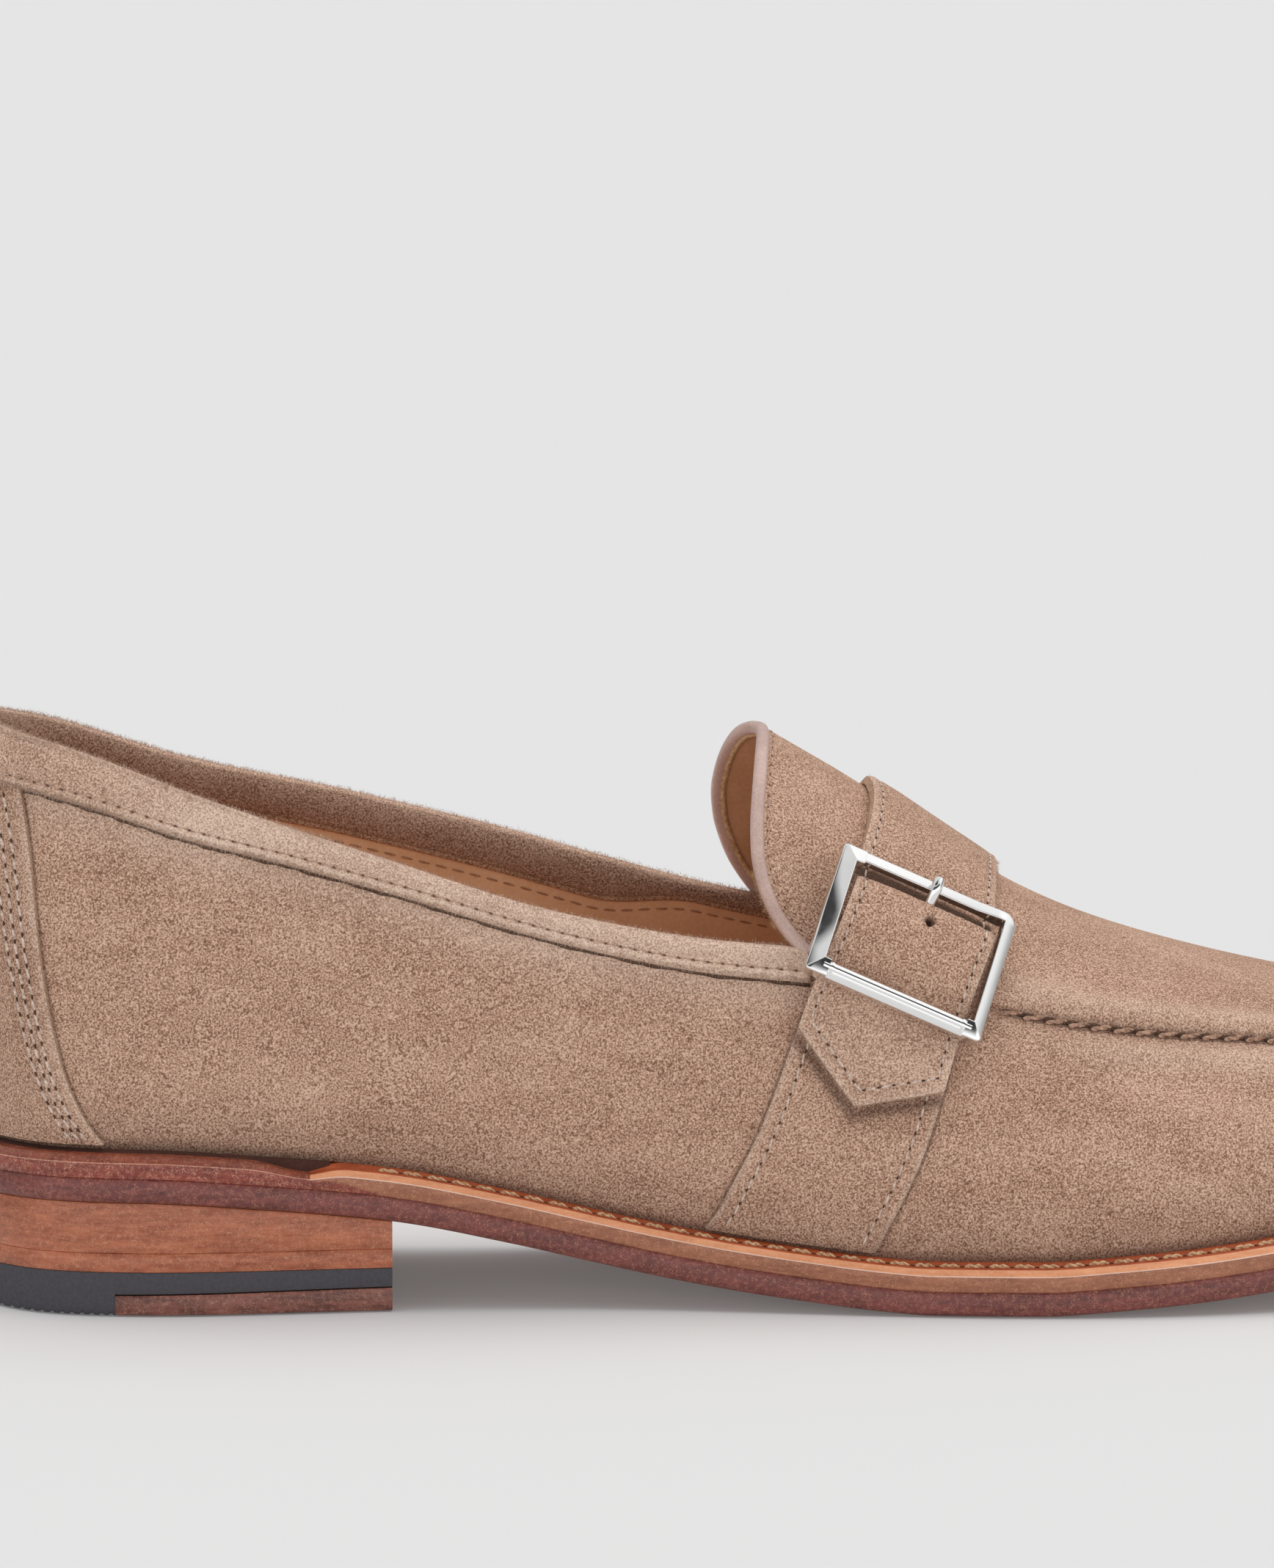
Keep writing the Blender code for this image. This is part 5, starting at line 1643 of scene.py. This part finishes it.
# The bottom rod: distance above the frame's lower edge, height, radius, then radius and length of its rings
ROD_UP, ROD_OUT, ROD_RADIUS = 1.95, 0.15, 1.15
ROD_COLLAR, ROD_COLLAR_LONG = 1.3, 0.5


def turned(first, second, angle):
    cosine, sine = np.cos(angle), np.sin(angle)
    return cosine * first + sine * second, cosine * second - sine * first


def in_buckle(points):
    """Points given across towards the toe, up the strap and out from the foot, put where the buckle is."""
    side, around, up = np.array(-1), np.array(float(around_at(BUCKLE_STATION))), np.array(BUCKLE_UP)
    out = normal_of(side, around, up)
    across, _ = slopes_of(side, around, up)
    across = unit(across - out * (across @ out))
    upward = np.cross(out, across)
    across, upward = turned(across, upward, BUCKLE_TURN)
    out, across = turned(out, across, BUCKLE_TILT)
    middle = place(side, around, up, BUCKLE_STAND_OFF)
    return middle + np.asarray(points, float) @ np.stack([across, upward, out])


def bar(start, end, section):
    """Points and faces of a straight bar: the section is a closed line of (sideways, out) places."""
    start, end = np.asarray(start, float), np.asarray(end, float)
    along = unit(end - start)
    sideways = np.array([-along[1], along[0], 0.0])
    ring = np.array([sideways * s + np.array([0, 0, 1.0]) * o for s, o in section])
    return loft([start + ring, end + ring])


def round_section(radius):
    return [(radius * np.cos(a), radius * np.sin(a)) for a in circle(32)]


def rounded(corners, radius):
    """A closed line through corners, each rounded off."""
    corners = np.asarray(corners, float)
    line = []
    for before, corner, after in zip(np.roll(corners, 1, axis=0), corners, np.roll(corners, -1, axis=0)):
        start = corner + radius * unit(before - corner)
        end = corner + radius * unit(after - corner)
        for t in np.linspace(0, 1, 5):
            line.append((1 - t) ** 2 * start + 2 * t * (1 - t) * corner + t * t * end)
    return np.array(line)


def frame_ring(outer, inner, inner_high, outer_high, low):
    """A section of the frame between two points of its plane, its face sloping between its edges."""
    outer, inner = np.asarray(outer, float), np.asarray(inner, float)
    wide = np.linalg.norm(outer - inner)
    line = rounded([(0, low), (0, inner_high), (wide, outer_high), (wide, low)], FRAME_ROUNDING)
    flat_places = inner + line[:, :1] * (outer - inner) / wide
    return np.concatenate([flat_places, line[:, 1:]], 1)


def corner_rings(inner, centre, radius, first, last, count, heights):
    """Sections round an outer corner, all from the same inner corner."""
    angles = np.radians(np.linspace(first, last, count))
    outers = np.asarray(centre) + radius * np.stack([np.cos(angles), np.sin(angles)], 1)
    return [frame_ring(outer, inner, *heights) for outer in outers]


def frame_rings():
    """Sections once round the frame: up the left bar, along the top, down the right bar and back below."""
    wide, tall = BUCKLE_WIDE / 2, BUCKLE_TALL / 2
    left, right = -wide + LEFT_BAR, wide - RIGHT_BAR
    top, low, rim = tall - TOP_BAR, -tall + BOTTOM_BAR, -tall + RIM
    shoulder, shoulder_end = tall - SHOULDER_DEPTH, -wide + SHOULDER
    rings = []
    for share in np.linspace(0, 1, 16):
        hollow = SIDE_HEIGHTS[1] + 0.25 - 0.6 * bump(share - 0.38, 0.3)
        y = low + (shoulder - low) * share
        rings.append(frame_ring((-wide, y), (left, y), SIDE_HEIGHTS[0], hollow, SIDE_HEIGHTS[2]))
    centre = (-wide + LEFT_CORNER, tall - LEFT_CORNER)
    rings += corner_rings((left, shoulder), centre, LEFT_CORNER, 180, 90, 7, SIDE_HEIGHTS)
    for x, edge, heights in (
        (shoulder_end - 0.7, shoulder, SIDE_HEIGHTS),
        (shoulder_end - 0.15, shoulder + 0.15, SIDE_HEIGHTS),
        (shoulder_end, top, TOP_HEIGHTS),
        (shoulder_end + 0.6, top, TOP_HEIGHTS),
        (wide - 7.0, top, TOP_HEIGHTS),
        (wide - 3.6, top, SIDE_HEIGHTS),
    ):
        rings.append(frame_ring((x, tall), (x, edge), *heights))
    centre = (wide - TOP_CORNER, tall - TOP_CORNER)
    rings += corner_rings((right, top), centre, TOP_CORNER, 90, 0, 12, SIDE_HEIGHTS)
    rings += [frame_ring((wide, y), (right, y), *SIDE_HEIGHTS) for y in np.linspace(top - 2.0, low, 6)]
    centre = (wide - LOW_CORNER, -tall + LOW_CORNER)
    rings += corner_rings((right, low), centre, LOW_CORNER, 0, -90, 7, SIDE_HEIGHTS)
    for x, edge, heights in (
        (right - COLLAR_BLOCK, low, SIDE_HEIGHTS),
        (right - COLLAR_BLOCK - 0.1, rim, RIM_HEIGHTS),
        (left + COLLAR_BLOCK + 0.1, rim, RIM_HEIGHTS),
        (left + COLLAR_BLOCK, low, SIDE_HEIGHTS),
    ):
        rings.append(frame_ring((x, -tall), (x, edge), *heights))
    centre = (-wide + LEFT_CORNER, -tall + LEFT_CORNER)
    return rings + corner_rings((left, low), centre, LEFT_CORNER, 270, 180, 7, SIDE_HEIGHTS)


def rod_part(first, last, radius):
    """A round length of the bottom rod."""
    y = -BUCKLE_TALL / 2 + ROD_UP
    return bar((first, y, ROD_OUT), (last, y, ROD_OUT), round_section(radius))


def make_buckle_frame():
    left, right = -BUCKLE_WIDE / 2 + LEFT_BAR, BUCKLE_WIDE / 2 - RIGHT_BAR
    starts = (left + COLLAR_BLOCK + 0.3, right - COLLAR_BLOCK - 0.8)
    collars = [rod_part(x, x + ROD_COLLAR_LONG, ROD_COLLAR) for x in starts]
    rod = rod_part(left, right, ROD_RADIUS)
    join("buckle_metal", [loft(frame_rings(), closed=True), rod] + collars, ["buckle_frame"])


def make_buckle_prong():
    """The prong on its hinge bar: up through the strap and over the top bar."""
    over = TOP_BAR_HALF_THICK + 0.9 * PRONG_RADIUS
    rest = BUCKLE_TALL / 2 - TOP_BAR / 2
    profile = (
        (0.0, HINGE_OUT),
        (3.5, HINGE_OUT + 0.2),
        (6.4, -0.9),
        (8.6, 0.4),
        (rest - 1.0, over),
        (rest + 1.3, over - 0.1),
    )
    count = 48
    fine = np.linspace(0, 1, count)
    run = np.linspace(0, 1, len(profile))
    up, out = (smooth_curve(run, column(profile, k))(fine) for k in range(2))
    path = np.stack([np.full(count, PRONG_ACROSS), up, out], 1)
    along = unit(np.gradient(path, axis=0))
    first = np.tile((1.0, 0, 0), (count, 1))
    second = np.cross(along, first)
    radius = PRONG_RADIUS * np.sqrt(np.clip(1 - np.clip((fine - 0.93) / 0.072, 0, 1) ** 2, 0.02, 1))
    half = BUCKLE_WIDE / 2 - SIDE_BAR - GAP
    hinge = bar((-half, 0, HINGE_OUT), (half, 0, HINGE_OUT), round_section(HINGE_RADIUS))
    prong = loft(tube(path, first, second, radius[:, None, None]))
    join("buckle_prong_metal", [prong, hinge], ["buckle_prong"])


def join(name, pieces, nodes):
    """Several shapes in the buckle's own axes as one metal piece."""
    points, faces = [], []
    start = 0
    for made, made_faces in pieces:
        points.append(made)
        faces += [[k + start for k in face] for face in made_faces]
        start += len(made)
    new_piece(name, in_buckle(np.concatenate(points)), faces, [metal], nodes, sharp=40)


# Stage, light and camera, in metres

CAMERA = Vector((-0.1801, -1.3026, 0.2398))
TARGET = Vector((-0.034, -0.020, 0.08585))
LENS = 179.6
FLOOR_HALF = 30.0
FLOOR_DROP = 0.0002
FLOOR_GREY = (0.7, 0.7, 0.7, 1.0)
FLOOR_GLOW = 0.1
SKY_LOW, SKY_HIGH = 0.24, 0.82
FRONT_WALL = 0.98
SIDE_BOX = 0.45
CARD_DARK = 0.06
KEY = 1.04
KEY_ANGLE = np.radians(60)
KEY_FROM = Vector((-0.1, 0.14, 1.0))


def make_floor():
    mesh = bpy.data.meshes.new("floor")
    signs = ((-1, -1), (1, -1), (1, 1), (-1, 1))
    corners = [(x * FLOOR_HALF, y * FLOOR_HALF, -FLOOR_DROP) for x, y in signs]
    mesh.from_pydata(corners, [], [(0, 1, 2, 3)])
    look = Look("floor", Roughness=1.0, Specular_IOR_Level=0.0)
    look.shader.inputs["Base Color"].default_value = FLOOR_GREY
    look.shader.inputs["Emission Color"].default_value = (1.0, 1.0, 1.0, 1.0)
    look.shader.inputs["Emission Strength"].default_value = FLOOR_GLOW
    mesh.materials.append(look.material)
    floor = bpy.data.objects.new("floor", mesh)
    bpy.context.scene.collection.objects.link(floor)


def make_light():
    """Even studio light: a broad key from above, a white wall in front and dark cards for the metal."""
    world = bpy.data.worlds.new("studio")
    bpy.context.scene.world = world
    world.use_nodes = True
    sky = Nodes(world.node_tree, "Generated")
    x, y, z = sky.add("ShaderNodeSeparateXYZ", {0: sky.spot}).outputs
    height = sky.spread(z, 0.0, 1.0, SKY_LOW, SKY_HIGH)
    front = sky.times(sky.spread(y, -0.15, -0.6), sky.spread(z, 0.46, 0.36, 0.0, FRONT_WALL))
    card = sky.times(sky.spread(x, 0.16, 0.0), sky.spread(y, -0.12, -0.24))
    card = sky.times(card, sky.spread(z, 0.74, 0.82))
    gap = sky.times(sky.spread(y, -0.40, -0.50), sky.spread(z, 0.40, 0.46))
    gap = sky.times(gap, sky.spread(z, 0.72, 0.64))
    card = sky.math("MAXIMUM", card, gap)
    box = sky.times(sky.spread(x, 0.42, 0.55), sky.spread(z, 0.35, 0.45, 0.0, SIDE_BOX))
    bright = sky.math("ADD", sky.math("ADD", height, front), box)
    back = world.node_tree.nodes["Background"]
    shown = sky.times(bright, sky.spread(card, 0.0, 1.0, 1.0, CARD_DARK))
    world.node_tree.links.new(shown, back.inputs["Color"])
    back.inputs["Strength"].default_value = 1.0
    sun = bpy.data.lights.new("key", "SUN")
    sun.energy = KEY
    sun.angle = KEY_ANGLE
    key = bpy.data.objects.new("key", sun)
    key.rotation_euler = KEY_FROM.to_track_quat("Z", "Y").to_euler()
    key.visible_glossy = False
    bpy.context.scene.collection.objects.link(key)


def make_camera():
    data = bpy.data.cameras.new("camera")
    data.lens = LENS
    data.sensor_width = 36.0
    camera = bpy.data.objects.new("camera", data)
    camera.location = CAMERA
    camera.rotation_euler = (TARGET - CAMERA).to_track_quat("-Z", "Y").to_euler()
    bpy.context.scene.collection.objects.link(camera)
    bpy.context.scene.camera = camera
    bpy.context.scene.view_settings.view_transform = "Standard"


def dress_insole():
    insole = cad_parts["insole"]
    insole.data.materials.clear()
    insole.data.materials.append(lining)


make_camera()
make_light()
make_floor()
make_outsole()
make_welt_stitches(make_welt())
make_heel_rand()
make_heel()
dress_insole()
make_upper()
make_heel_counter()
make_collar_band()
make_collar_stitches()
make_collar_crevice()
make_overlay_shadows()
make_collar_fuzz()
make_lining_edge()
make_apron_tongue()
make_apron_stitches()
make_tongue_piping()
make_saddle()
make_strap()
make_strap_stitches()
make_edge_fuzz()
make_buckle_frame()
make_buckle_prong()
